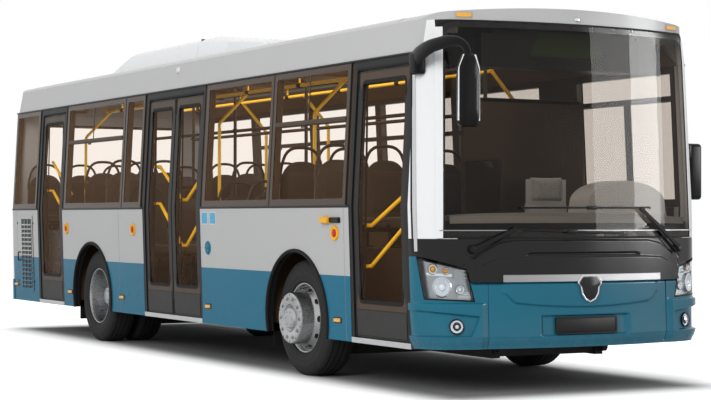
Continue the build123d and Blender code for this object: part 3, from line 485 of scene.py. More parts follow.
def turned(profile, centre, sides=48, axis="y", closed=False):
    """A profile of (along the axis, radius) points turned about an axis through a centre. An end on the axis
    closes in a fan, and a closed profile makes a ring."""
    profile = np.asarray(profile, float)
    angle = np.arange(sides) * 2 * math.pi / sides
    along = np.repeat(profile[:, :1], sides, axis=1)
    one, two = profile[:, 1:] * np.cos(angle), profile[:, 1:] * np.sin(angle)
    order = {"x": (along, one, two), "y": (two, along, one), "z": (one, two, along)}[axis]
    points = np.stack(order, axis=-1) + np.asarray(centre, float)
    return outward(Form(points, outline_faces(len(profile), sides, closed)))


def rounded_block(low, high, radius, steps=3):
    """A block with rounded edges: a sphere whose eight octants are pulled apart to the block's corners."""
    low, high = np.asarray(low, float), np.asarray(high, float)
    half = (high - low) / 2
    radius = min(radius, *(half * 0.999))
    quarter = np.linspace(0, math.pi / 2, steps + 1)
    round_angle = np.concatenate([quarter + k * math.pi / 2 for k in range(4)])
    round_sign = np.repeat([[1, 1], [-1, 1], [-1, -1], [1, -1]], steps + 1, axis=0)
    tilt = np.concatenate([quarter - math.pi / 2, quarter])
    tilt_sign = np.repeat([-1, 1], steps + 1)
    t, a = np.meshgrid(tilt, round_angle, indexing="ij")
    normal = np.stack([np.cos(t) * np.cos(a), np.cos(t) * np.sin(a), np.sin(t)], axis=-1)
    sign = np.stack(np.broadcast_arrays(round_sign[:, 0], round_sign[:, 1], tilt_sign[:, None]), axis=-1)
    points = (low + high) / 2 + sign * (half - radius) + normal * radius
    return Form(points, outline_faces(*t.shape)).flipped()


def bead(line, place, width, height):
    """A low moulding along a line on a skin: a half-round strip of that width and height."""
    line = np.asarray(line, float)
    path = place(line[:, 0], line[:, 1], 0.0)
    away = place(line[:, 0], line[:, 1], 0.01) - path
    angle = np.linspace(0, math.pi, 7)
    profile = np.column_stack([np.cos(angle) * width / 2, np.sin(angle) * height])
    return swept(path, np.vstack([profile, [[-width / 2, -0.004], [width / 2, -0.004]]]), away)


def form_mesh(name, form, material):
    """A mesh of a shape's points and faces, with one material."""
    mesh = bpy.data.meshes.new(name)
    mesh.from_pydata(form.points.tolist(), [], [face for block in form.faces for face in block.tolist()])
    mesh.materials.append(material)
    return mesh


def linked_object(name, data):
    """An object of some data, in the scene."""
    item = bpy.data.objects.new(name, data)
    bpy.context.scene.collection.objects.link(item)
    return item


def piece(name, forms, look, slot, body="root", stands_for=None, sharp=40.0, bevel=0.0):
    """A finished object from one shape or several: smooth faces, sharp edges kept past an angle, a material
    slot, the body that it rides on and the node that it stands for."""
    mesh = form_mesh(name, forms if isinstance(forms, Form) else together(forms), finish(look))
    mesh.validate()
    mesh.shade_smooth()
    mesh.set_sharp_from_angle(angle=math.radians(sharp))
    mesh.update()
    item = linked_object(name, mesh)
    if bevel:
        edge = item.modifiers.new("edge", "BEVEL")
        edge.width, edge.segments, edge.limit_method, edge.angle_limit = bevel, 2, "ANGLE", math.radians(40)
    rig.ride(item, body)
    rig.slot(item, slot)
    if stands_for:
        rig.replaces(item, stands_for)
    return item


# ============================== finishes ==============================

DUST = (0.30, 0.28, 0.25)


class Value:
    """A socket that carries a number, with arithmetic that adds the Math nodes."""

    def __init__(self, tree, socket):
        self.tree, self.socket = tree, socket

    def math(self, operation, *others):
        return self.tree.value("ShaderNodeMath", {"operation": operation}, self, *others)

    def __add__(self, other):
        return self.math("ADD", other)

    def __sub__(self, other):
        return self.math("SUBTRACT", other)

    def __rsub__(self, other):
        return (self * -1.0) + other

    def __mul__(self, other):
        return self.math("MULTIPLY", other)

    def __gt__(self, other):
        return self.math("GREATER_THAN", other)

    def __lt__(self, other):
        return self.math("LESS_THAN", other)

    def __pow__(self, other):
        return self.math("POWER", other)

    __radd__ = __add__
    __rmul__ = __mul__

    def clear(self):
        """Held between 0 and 1."""
        return self.tree.value("ShaderNodeClamp", {}, self)


class Nodes:
    """The node tree of a material or a world, emptied, with one method that adds any node."""

    def __init__(self, owner):
        owner.use_nodes = True
        self.tree = owner.node_tree
        self.tree.nodes.clear()

    def node(self, kind, settings=None, *values, **named):
        """A node of a type, its settings first, then its sockets' values or links by order or by name."""
        node = self.tree.nodes.new(kind)
        for key, setting in (settings or {}).items():
            setattr(node, key, setting)
        for socket, value in zip(node.inputs, values):
            self.feed(socket, value)
        for key, value in named.items():
            self.feed(node.inputs[key], value)
        return node

    def value(self, kind, settings=None, *values, **named):
        """The first output of a new node, as a number."""
        return Value(self, self.node(kind, settings, *values, **named).outputs[0])

    def feed(self, socket, value):
        source = value.socket if isinstance(value, Value) else value
        if isinstance(source, bpy.types.NodeSocket):
            self.tree.links.new(source, socket)
        else:
            socket.default_value = source


class Finish(Nodes):
    """A material with one shader, and methods that add what varies over its surface."""

    def __init__(self, name, colour, roughness=0.5, metallic=0.0, coat=0.0, specular=0.5):
        self.material = bpy.data.materials.new(name)
        super().__init__(self.material)
        self.output = self.node("ShaderNodeOutputMaterial")
        self.shader = self.node("ShaderNodeBsdfPrincipled")
        self.show(self.shader)
        for socket, value in (("Base Color", (*colour, 1.0)), ("Roughness", roughness),
                              ("Metallic", metallic), ("Coat Weight", coat), ("Coat Roughness", 0.04),
                              ("Specular IOR Level", specular)):
            self.set(socket, value)

    def set(self, name, value):
        self.feed(self.shader.inputs[name], value)

    def show(self, shader):
        self.feed(self.output.inputs["Surface"], shader.outputs[0])

    def where(self):
        """Object coordinates."""
        return self.node("ShaderNodeTexCoord").outputs["Object"]

    def axes(self):
        """The three object coordinates as numbers."""
        split = self.node("ShaderNodeSeparateXYZ", {}, self.where())
        return [Value(self, socket) for socket in split.outputs]

    def noise(self, scale, detail=3.0, roughness=0.5, stretch=(1.0, 1.0, 1.0)):
        where = self.node("ShaderNodeMapping", {}, self.where(), Scale=stretch).outputs[0]
        return self.value("ShaderNodeTexNoise", {}, where, Scale=scale, Detail=detail, Roughness=roughness)

    def blend(self, share, first, second):
        """A colour mixed from two, each a colour or a socket, by a share of the second."""
        node = self.node("ShaderNodeMix", {"data_type": "RGBA"}, share)
        for socket, colour in zip((node.inputs[6], node.inputs[7]), (first, second)):
            self.feed(socket, colour if isinstance(colour, bpy.types.NodeSocket) else (*colour, 1.0))
        return node.outputs[2]

    def bump(self, height, strength=0.2, distance=0.001):
        node = self.node("ShaderNodeBump", {}, Strength=strength, Distance=distance, Height=height)
        self.set("Normal", node.outputs[0])

    def mottle(self, cloud, share, first, second, swing, roughness):
        """Two tones mixed by a noise that also varies the gloss."""
        self.set("Base Color", self.blend(cloud * share, first, second))
        self.set("Roughness", cloud * swing + roughness)


def shade(colour, factor, lift=0.0):
    """A colour times a factor, plus a lift, no brighter than white."""
    return tuple(min(1.0, c * factor + lift) for c in colour)


def paint(name, colour, roughness=0.22, coat=0.8, flake=0.0, specular=0.5):
    """Glossy body paint: a slight unevenness of tone, road dust towards the sill and a faint orange peel."""
    finish = Finish(name, colour, roughness, 0.0, coat, specular)
    z = finish.axes()[2]
    cloud = finish.noise(1.7, 4.0, 0.55)
    base = finish.blend(cloud * 0.5, colour, shade(colour, 0.93))
    if flake:
        cells = finish.node("ShaderNodeTexVoronoi", {}, finish.where(), Scale=900.0)
        sparkle = Value(finish, cells.outputs["Distance"]) < 0.22
        base = finish.blend(sparkle * flake, base, shade(colour, 2.2, 0.05))
    dust = ((0.62 - z) * 1.6).clear() * finish.noise(9.0, 6.0, 0.65)
    finish.set("Base Color", finish.blend(dust * 0.22, base, DUST))
    finish.set("Roughness", dust * 0.35 + (cloud * 0.05 + roughness))
    finish.bump(finish.noise(160.0, 2.0), 0.035, 0.0004)


def side_paint(name, grey, blue):
    """Body side paint: grey above and blue below a straight line, black on cut edges, with road dust."""
    finish = Finish(name, grey, 0.24, 0.0, 0.02, 0.10)
    z = finish.axes()[2]
    cloud = finish.noise(1.4, 4.0, 0.55)
    upper = finish.blend(cloud * 0.5, grey, shade(grey, 0.94))
    lower = finish.blend(cloud * 0.6, blue, shade(blue, 0.88))
    base = finish.blend(z < STRIPE_Z, upper, lower)
    turn = finish.node("ShaderNodeSeparateXYZ", {}, finish.node("ShaderNodeNewGeometry").outputs["Normal"])
    cut_edge = Value(finish, turn.outputs[1]).math("ABSOLUTE") < 0.5
    dust = ((0.70 - z) * 1.4).clear() * finish.noise(8.0, 6.0, 0.65)
    dusty = finish.blend(dust * 0.05, base, DUST)
    finish.set("Base Color", finish.blend(cut_edge, dusty, (0.012, 0.012, 0.012)))
    finish.set("Roughness", dust * 0.35 + (cloud * 0.05 + 0.2))
    finish.bump(finish.noise(160.0, 2.0), 0.035, 0.0004)


def plastic(name, colour, roughness, grain, depth, specular):
    """Moulded plastic: fine leather-like grain in bump and a soft variation of tone and gloss."""
    finish = Finish(name, colour, roughness, specular=specular)
    finish.mottle(finish.noise(5.0, 4.0, 0.6), 0.6, colour, shade(colour, 0.82, 0.004), 0.14,
                  roughness - 0.07)
    finish.bump(finish.noise(grain, 3.0, 0.6), depth, 0.0006)


def metal(name, colour, roughness, streak, wear):
    """Bare or plated metal: brushed streaks along one direction that vary the gloss, and a little soiling."""
    finish = Finish(name, colour, roughness, 1.0)
    brushed = finish.noise(22.0, 4.0, 0.6, streak)
    finish.mottle(finish.noise(4.0, 5.0, 0.65), wear, colour, shade(colour, 0.55), 0.1,
                  brushed * 0.16 + (roughness - 0.1))
    finish.bump(brushed, 0.05, 0.0004)


def glazing(name, tint, gloss=0.04, keep=1.0, sheen=(1.0, 1.0, 1.0)):
    """A pane: what is behind it shows tinted, and the surface mirrors more towards a grazing view."""
    finish = Finish(name, tint, gloss)
    finish.tree.nodes.remove(finish.shader)
    through = finish.node("ShaderNodeBsdfTransparent", {}, (*tint, 1.0))
    mirror = finish.node("ShaderNodeBsdfGlossy", {}, (*sheen, 1.0), gloss)
    behind = Value(finish, finish.node("ShaderNodeNewGeometry").outputs["Backfacing"])
    share = finish.value("ShaderNodeFresnel", {}, 1.45) * keep * (1.0 - behind)
    finish.show(finish.node("ShaderNodeMixShader", {}, share, through.outputs[0], mirror.outputs[0]))


def rubber(name):
    """Rubber: near black with a dusty bloom in patches and a fine uneven surface."""
    finish = Finish(name, (0.009, 0.009, 0.009), 0.62, specular=0.14)
    finish.mottle(finish.noise(14.0, 5.0, 0.6), 0.3, (0.009, 0.009, 0.009), (0.026, 0.025, 0.023), 0.2, 0.54)
    finish.bump(finish.noise(300.0, 3.0), 0.1, 0.0006)


def tyre_rubber(name):
    """Tyre rubber: dust held on the tread and sidewall, over a fine uneven surface."""
    finish = Finish(name, (0.014, 0.014, 0.0145), 0.7, specular=0.16)
    finish.mottle(finish.noise(7.0, 6.0, 0.7), 0.45, (0.014, 0.014, 0.015), (0.06, 0.056, 0.05), 0.2, 0.6)
    finish.bump(finish.noise(240.0, 4.0, 0.6), 0.12, 0.0008)


def cloth(name, colour, thread):
    """Seat cloth: a plain weave of two crossed threads in bump, flecked with a second colour."""
    finish = Finish(name, colour, 0.85, specular=0.2)
    x, y, z = finish.axes()
    warp, weft = (y * 1150.0).math("SINE"), ((z + x * 0.6) * 1150.0).math("SINE")
    base = finish.blend(finish.noise(55.0, 2.0, 0.4) > 0.56, colour, thread)
    finish.set("Base Color", finish.blend(finish.noise(3.0, 4.0) * 0.35, base, (0.01, 0.01, 0.012)))
    finish.bump(warp * weft, 0.12, 0.0006)
    finish.set("Sheen Weight", 0.1)


def speckled_floor(name):
    """Non-slip floor: dark grey vinyl with pale and dark chips and a pebbled surface."""
    finish = Finish(name, (0.07, 0.075, 0.08), 0.6)
    chips = finish.node("ShaderNodeTexVoronoi", {"feature": "F1"}, finish.where(), Scale=260.0)
    pick = finish.node("ShaderNodeSeparateColor", {}, chips.outputs["Color"])
    pale, dark = Value(finish, pick.outputs[0]) > 0.88, Value(finish, pick.outputs[1]) > 0.84
    base = finish.blend(dark, (0.075, 0.08, 0.085), (0.02, 0.02, 0.022))
    finish.set("Base Color", finish.blend(pale, base, (0.34, 0.35, 0.36)))
    finish.set("Roughness", finish.noise(6.0) * 0.3 + 0.45)
    finish.bump(Value(finish, chips.outputs["Distance"]), 0.2, 0.0008)


def glowing(name, colour, strength, roughness=0.2):
    """A lamp lens or lit display with a faint light of its own."""
    finish = Finish(name, colour, roughness, 0.0, 0.6)
    finish.set("Base Color", finish.blend(finish.noise(30.0, 2.0) * 0.6, colour, shade(colour, 0.75)))
    finish.set("Emission Color", (*colour, 1.0))
    finish.set("Emission Strength", strength)


def door_leaf_finish(name, rail):
    """Charcoal door leaf whose grab rails, inboard of it and clear of the pivots, are yellow powder coat."""
    leaf = Finish(name, (0.016, 0.015, 0.014), 0.42, specular=0.14)
    x, y, z = leaf.axes()
    on_rail = (y > -1.172) * (z < 2.0)
    for _, pivot_x, _ in LEAVES:
        on_rail = on_rail * ((x - pivot_x).math("ABSOLUTE") > 0.055)
    tone = leaf.noise(5.0, 4.0, 0.6)
    dark = leaf.blend(tone * 0.5, (0.016, 0.015, 0.014), (0.026, 0.024, 0.022))
    leaf.set("Base Color", leaf.blend(on_rail, dark, rail))
    leaf.set("Roughness", tone * 0.12 + 0.34)
    leaf.bump(leaf.noise(380.0, 3.0), 0.12, 0.0005)

# ============================== settings ==============================

def colour_setting(name, description, default):
    return FloatVectorProperty(name=name, description=description, subtype="COLOR", size=3, default=default,
                               min=0, max=1)


def length_setting(name, description, default, low, high):
    return FloatProperty(name=name, description=description, default=default, min=low, max=high,
                         unit="LENGTH")


class BusColours(bpy.types.PropertyGroup):
    """The colours of the bus."""
    body_grey: colour_setting("Body grey", "Paint of the roof coves and upper sides", (0.445, 0.447, 0.443))
    band_blue: colour_setting("Band blue", "Paint of the lower band along the sides", (0.007, 0.138, 0.228))
    front_teal: colour_setting("Front teal", "Paint of the front bumper", (0.006, 0.116, 0.180))
    pillar_white: colour_setting("Pillar white", "Paint of the corner pillars and roof unit",
                                 (0.74, 0.75, 0.76))
    rail_yellow: colour_setting("Rail yellow", "Powder coat of the grab rails and posts", (0.95, 0.52, 0.012))
    pane_tint: colour_setting("Pane tint", "What the side panes let through", (0.986, 0.967, 0.948))


class BusSizes(bpy.types.PropertyGroup):
    """Sizes of the trim that a user may want to change."""
    arch_trim: length_setting("Arch trim", "Width of the rubber lip round a wheel arch", 0.032, 0.015, 0.06)
    rail_radius: length_setting("Rail radius", "Radius of the grab rails and posts", 0.016, 0.012, 0.022)
    tread_blocks: IntProperty(name="Tread blocks", description="Blocks round a tyre in each row",
                              default=72, min=40, max=96)


def sizes():
    return bpy.context.scene.bus_sizes


def finish(name):
    """A finish by the name that the finishes operator gave it."""
    return bpy.data.materials[name]


class BUS_OT_finishes(bpy.types.Operator):
    """Makes every finish and puts one on each solid"""
    bl_idname = "bus.finishes"
    bl_label = "Finishes"

    def execute(self, context):
        chosen = context.scene.bus_colours
        grey, blue, teal = tuple(chosen.body_grey), tuple(chosen.band_blue), tuple(chosen.front_teal)
        white, yellow, tint = tuple(chosen.pillar_white), tuple(chosen.rail_yellow), tuple(chosen.pane_tint)
        side_paint("two_tone", grey, blue)
        for name, colour, rough, coat, flake, gloss in (
                ("body_grey", grey, 0.24, 0.1, 0.0, 0.25), ("band_blue", blue, 0.24, 0.05, 0.0, 0.16),
                ("front_teal", teal, 0.18, 0.12, 0.25, 0.2), ("gloss_white", white, 0.2, 0.4, 0.0, 0.5),
                ("seam_grey", (0.20, 0.20, 0.20), 0.4, 0.0, 0.0, 0.5),
                ("gloss_black", (0.006, 0.006, 0.006), 0.12, 0.0, 0.0, 0.3),
                ("rail_yellow", yellow, 0.35, 0.3, 0.0, 0.5),
                ("matt_chassis", (0.012, 0.012, 0.012), 0.6, 0.0, 0.0, 0.2),
                ("frit_brown", (0.052, 0.032, 0.019), 0.12, 0.0, 0.0, 0.22),
                ("apron_black", (0.009, 0.0088, 0.0085), 0.18, 0.0, 0.0, 0.24),
                ("mirror_black", (0.0035, 0.0035, 0.0035), 0.24, 0.0, 0.0, 0.14)):
            paint(name, colour, rough, coat, flake, gloss)
        for name, colour, rough, grain, depth, gloss in (
                ("charcoal", (0.0115, 0.012, 0.013), 0.42, 420.0, 0.15, 0.14),
                ("black_plastic", (0.009, 0.009, 0.0095), 0.38, 420.0, 0.15, 0.16),
                ("kick_grey", (0.030, 0.029, 0.028), 0.5, 500.0, 0.1, 0.2),
                ("frame_brown", (0.060, 0.037, 0.023), 0.42, 500.0, 0.08, 0.18),
                ("lining_brown", (0.070, 0.042, 0.024), 0.6, 300.0, 0.1, 0.12),
                ("ceiling_brown", (0.235, 0.145, 0.080), 0.6, 200.0, 0.15, 0.15),
                ("binnacle_grey", (0.64, 0.645, 0.635), 0.5, 500.0, 0.15, 0.3),
                ("moulding_brown", (0.050, 0.034, 0.023), 0.45, 420.0, 0.15, 0.2),
                ("lining_grey", (0.40, 0.405, 0.395), 0.55, 500.0, 0.15, 0.3),
                ("seat_moulding", (0.035, 0.035, 0.038), 0.4, 420.0, 0.15, 0.3),
                ("sign_white", (0.55, 0.58, 0.60), 0.3, 600.0, 0.05, 0.3),
                ("sign_blue", (0.045, 0.36, 0.56), 0.3, 600.0, 0.05, 0.3),
                ("warning_red", (0.45, 0.02, 0.015), 0.35, 600.0, 0.05, 0.3),
                ("button_yellow", (0.85, 0.42, 0.010), 0.35, 600.0, 0.05, 0.3),
                ("grille_dark", (0.045, 0.048, 0.050), 0.5, 500.0, 0.1, 0.3),
                ("display_dark", (0.048, 0.074, 0.030), 0.6, 500.0, 0.05, 0.08)):
            plastic(name, colour, rough, grain, depth, gloss)
        for name, colour, rough, streak, wear in (
                ("aluminium", (0.62, 0.63, 0.64), 0.32, (1.0, 30.0, 30.0), 0.15),
                ("bar_satin", (0.32, 0.32, 0.325), 0.42, (1.0, 20.0, 20.0), 0.15),
                ("chrome", (0.72, 0.72, 0.73), 0.12, (1.0, 1.0, 1.0), 0.05),
                ("wheel_steel", (0.46, 0.465, 0.47), 0.25, (1.5, 1.0, 1.5), 0.25),
                ("reflector", (0.80, 0.80, 0.82), 0.10, (1.0, 1.0, 1.0), 0.02),
                ("cast_iron", (0.14, 0.14, 0.14), 0.6, (3.0, 3.0, 3.0), 0.4),
                ("lamp_housing", (0.42, 0.42, 0.425), 0.30, (1.0, 1.0, 1.0), 0.25)):
            metal(name, colour, rough, streak, wear)
        glazing("pane_tinted", tint, 0.03, 0.30, (1.0, 0.62, 0.38))
        glazing("pane_clear", (0.72, 0.69, 0.66), 0.02, 0.36)
        glazing("lens_clear", (0.93, 0.95, 0.96), 0.03)
        glowing("lens_white", (0.75, 0.78, 0.80), 0.15, 0.1)
        glowing("amber_lens", (0.78, 0.36, 0.015), 0.12)
        glowing("red_lens", (0.45, 0.01, 0.01), 0.15)
        rubber("rubber")
        tyre_rubber("tyre_rubber")
        cloth("seat_cloth", (0.052, 0.034, 0.022), (0.068, 0.045, 0.030))
        cloth("driver_cloth", (0.72, 0.72, 0.71), (0.62, 0.62, 0.61))
        speckled_floor("floor_vinyl")
        door_leaf_finish("door_leaf", yellow)
        worn = {name: look for look, names in {
            "body_grey": ("roof", "rear_wall", "engine_hatch"), "gloss_white": ("roof_unit", "front_pillars"),
            "two_tone": ("side_lower_left", "side_lower_right"), "frame_brown": ("window_frames",),
            "pane_tinted": ("side_glass", "rear_window"), "band_blue": ("rear_bumper",),
            "pane_clear": ("windscreen",), "gloss_black": ("front_apron",), "front_teal": ("front_bumper",),
            "lens_clear": ("lamps",), "charcoal": ("door_frames",), "cast_iron": ("engine",),
            "floor_vinyl": ("floor_deck", "rear_platform"), "seat_moulding": ("seats",),
            "lining_brown": ("wheelhouses", "driver_cab"),
            "matt_chassis": ("underframe", "front_axle", "rear_axle", "knuckle_left", "knuckle_right"),
            "black_plastic": ("dashboard", "steering_wheel", "destination_display", "mirrors", "wipers"),
            "moulding_brown": ("handrails",)}.items() for name in names}
        for name, node in nodes.items():
            look = worn.get(name)
            if look is None:
                look = ("pane_tinted" if name.endswith("_glass") else "door_leaf" if name.startswith("door_")
                        else "tyre_rubber" if "tyre" in name else "wheel_steel")
            if not node.material_slots:
                node.data.materials.append(None)
            for slot in node.material_slots:
                slot.material = finish(look)
        return {"FINISHED"}



# ============================== sides ==============================

def closed_spans(side):
    """Lengths of a side between its doorways."""
    if side == LEFT:
        return [(SIDE_REAR_X, SIDE_FRONT_X)]
    edges = [SIDE_REAR_X] + [x for pair in DOORWAYS.values() for x in pair]
    return list(zip(edges[::2], edges[1::2]))


def blade(place, a0, a1, back, lip):
    """A slanted blade between two places: its rear and front edges, each a top, a foot and a depth."""
    return lofted(place, [([(a0, top), (a1, top), (a1, foot), (a0, foot)], out)
                          for top, foot, out in (back, lip)])


class BUS_OT_panes(bpy.types.Operator):
    """Dark printed borders, uprights, transoms and rubber joints of the side panes"""
    bl_idname = "bus.panes"
    bl_label = "Side panes"

    def execute(self, context):
        borders, bars, joints = [], [], []
        for panes, side in ((RIGHT_PANES, RIGHT), (LEFT_PANES, LEFT)):
            for x0, x1, transom_z, upright_x in panes:
                outer = rounded((x0, x1, BELT_Z + 0.005, EAVES_Z - 0.005), 0.004, 0.006)
                inner = rounded((x0 + PANE_MARGIN, x1 - PANE_MARGIN, PANE_LOW_Z, PANE_HIGH_Z), 0.0, 0.012)
                borders.append(frame_plate(deep_side(side), outer, inner, 0.0004, 0.0016))
                joints.append(strip(side, x1 - 0.007, x1 + 0.007, BELT_Z, EAVES_Z, -0.004, 0.003))
                low, high = x0 + PANE_MARGIN - 0.004, x1 - PANE_MARGIN + 0.004
                if transom_z:
                    catch_x = low + (high - low) * 0.36
                    for a, b, foot, top, deep, proud in (
                            (low, high, -0.017, 0.017, 0.0008, 0.007),
                            (low, high, -0.004, 0.004, 0.007, 0.010),
                            (catch_x, catch_x + 0.07, -0.040, -0.018, -0.020, -0.010)):
                        bars.append(strip(side, a, b, transom_z + foot, transom_z + top, deep, proud))
                if upright_x:
                    low, high = upright_x - 0.008, upright_x + 0.008
                    bars.append(strip(side, low, high, transom_z, PANE_HIGH_Z, 0.0008, 0.006))
        transom = box_at(3.565, DRIVER_TRANSOM_Z, 0.615, 0.022)
        bars += [strip(LEFT, 3.505, 3.595, PANE_LOW_Z, DRIVER_TRANSOM_Z, 0.0008, 0.006),
                 patch(deep_side(LEFT), transom, 0.0008, 0.007)]
        piece("pane_borders", borders, "frit_brown", "dark_frame")
        piece("pane_bars", bars, "frame_brown", "dark_frame", bevel=0.002)
        piece("pane_joints", joints, "rubber", "dark_frame")
        return {"FINISHED"}


class BUS_OT_side_strips(bpy.types.Operator):
    """Belt moulding, roofline gutter, panel seams and arch rubbers"""
    bl_idname = "bus.side_strips"
    bl_label = "Side strips"

    def execute(self, context):
        width = sizes().arch_trim
        angle = np.radians(np.linspace(-14.5, 194.5, 61))
        strips, seams, lips = [], [], []
        for side, seam_places in ((RIGHT, (-4.582, -4.038, -1.43, 3.26)), (LEFT, (-4.2, -1.43, 0.2, 3.06))):
            place = deep_side(side)
            for x0, x1 in closed_spans(side):
                strips.append(bead([(x0 + 0.004, BELT_Z), (x1 - 0.004, BELT_Z)], place, 0.020, 0.006))
            strips.append(bead([(-4.735, EAVES_Z + 0.002), (4.30, EAVES_Z + 0.002)], place, 0.018, 0.009))
            for x in seam_places:
                seams.append(strip(side, x - 0.0016, x + 0.0016, SILL_Z + 0.004, BELT_Z - 0.012, 0.0, 0.0010))
            for axle in (REAR_AXLE_X, FRONT_AXLE_X):
                x, z = np.cos(angle), np.sin(angle)
                middle, edge = ARCH_RADIUS + width * 0.30, ARCH_RADIUS - 0.004
                arc = np.column_stack([axle + middle * x, AXLE_Z + middle * z])
                skirt = place(arc[:, 0], arc[:, 1], -0.03)
                inner = place(axle + edge * x, AXLE_Z + edge * z, -0.055)
                lips += [bead(arc, place, width, 0.016), swept((skirt + inner) / 2, round_profile(0.006, 6))]
        piece("belt_and_gutter", strips, "black_plastic", "dark_plastic")
        piece("panel_seams", seams, "seam_grey", "dark_frame")
        piece("arch_rubbers", lips, "rubber", "tyre")
        return {"FINISHED"}


class BUS_OT_side_fittings(bpy.types.Operator):
    """Side markers, door buttons, warning lamp, filler cap, blank signs, grille and handle"""
    bl_idname = "bus.side_fittings"
    bl_label = "Side fittings"

    def execute(self, context):
        markers, bases = [], []
        for side, places in ((RIGHT, (-4.640, -2.864, -1.38, 0.696, 3.127)),
                             (LEFT, (-4.640, -2.864, -1.38, 0.1, 1.70, 3.127))):
            for x in places:
                z = 0.509 if x == places[0] else 0.483
                box = box_at(x, z, 0.058, 0.024)
                bases.append(raised(deep_side(side), box, [(0, 0.010, 0.0), (0.003, 0.010, 0.006)]))
                markers.append(raised(deep_side(side), box, [((0.010, 0.008), 0.008, 0.006),
                                                             ((0.014, 0.012), 0.008, 0.016)]))
        piece("side_marker_bases", bases, "black_plastic", "dark_plastic")
        piece("side_marker_lenses", markers, "amber_lens", "lamp_glass")

        place = deep_side(RIGHT)
        ring = [(0.0, 0.060), (0.012, 0.058), (0.016, 0.050), (0.012, 0.036), (0.006, 0.030)]
        button = [(0.005, 0.031), (0.014, 0.029), (0.019, 0.020), (0.020, 0.002)]
        for name, profile, look in (("door_button_rings", ring, "button_yellow"),
                                    ("door_buttons", button, "warning_red")):
            buttons = [boss(place, x, 1.15, profile) for x in (-2.929, -1.039, 3.119)]
            piece(name, buttons, look, "yellow_paint")

        lamp = raised(place, (2.94, 3.21, 1.228, 1.272), [(0, 0.012, 0.0), ((0.005, 0.004), 0.012, 0.022)])
        glow = raised(place, (2.925, 3.065, 1.222, 1.278), [(0, 0.012, 0.004), (0.007, 0.010, 0.040)])
        piece("kerb_lamp", lamp, "black_plastic", "dark_plastic")
        piece("kerb_lamp_lens", glow, "button_yellow", "yellow_paint")

        cap = boss(place, 0.723, 1.0, [(0.0, 0.062), (0.005, 0.060), (0.006, 0.052), (0.003, 0.050),
                                       (0.004, 0.046), (0.012, 0.042), (0.013, 0.004)])
        rib = raised(place, (0.685, 0.761, 0.993, 1.007), [(0, 0.006, 0.012), ((0.005, 0.003), 0.003, 0.022)])
        piece("filler_cap", [cap, rib], "band_blue", "blue_paint")

        signs = [box_at(x, 1.262, 0.064, 0.056) for x in (0.665, 0.838)]
        for name, steps, look, slot in (
                ("sign_borders", [(0, 0.012, 0.0), (0, 0.012, 0.0012)], "sign_white", "white_paint"),
                ("sign_faces", [(0.008, 0.010, 0.001), (0.008, 0.010, 0.002)], "sign_blue", "blue_paint")):
            piece(name, [raised(place, sign, steps) for sign in signs], look, slot)

        grille = x0, x1, z0, z1 = -4.41, -4.075, 0.48, 1.245
        blades = [rounded_frame(place, grille, (-0.035, 0.012), (-0.004, 0.004), -0.002, 0.006)]
        for row in range(15):
            z = z0 + (row + 0.5) * 0.048
            blades.append(blade(place, x0 + 0.006, x1 - 0.006, (z + 0.018, z + 0.014, 0.0),
                                (z + 0.004, z, 0.012)))
        for x in (x0 + 0.11, x1 - 0.11):
            blades.append(strip(RIGHT, x - 0.006, x + 0.006, z0, z1, 0.0, 0.008))
        backing = strip(RIGHT, x0 - 0.002, x1 + 0.002, z0 - 0.002, z1 + 0.002, 0.0, 0.0015)
        piece("side_grille_backing", backing, "grille_dark", "dark_plastic")
        piece("side_grille", blades, "two_tone", "two_tone_paint")

        steps = ((0.782, 0.0), (0.782, 0.028), (0.873, 0.028), (0.873, 0.0))
        bow = tube([place(-4.49, z, out) for z, out in steps], 0.007, 0.012, 8, (1, 0, 0))
        screws = [boss(place, x, z, [(0.0, 0.013), (0.004, 0.012), (0.005, 0.002)], 16)
                  for x in (-4.565, -4.025) for z in (0.55, 1.20)]
        piece("grille_handle", [bow] + screws, "black_plastic", "dark_plastic")
        return {"FINISHED"}


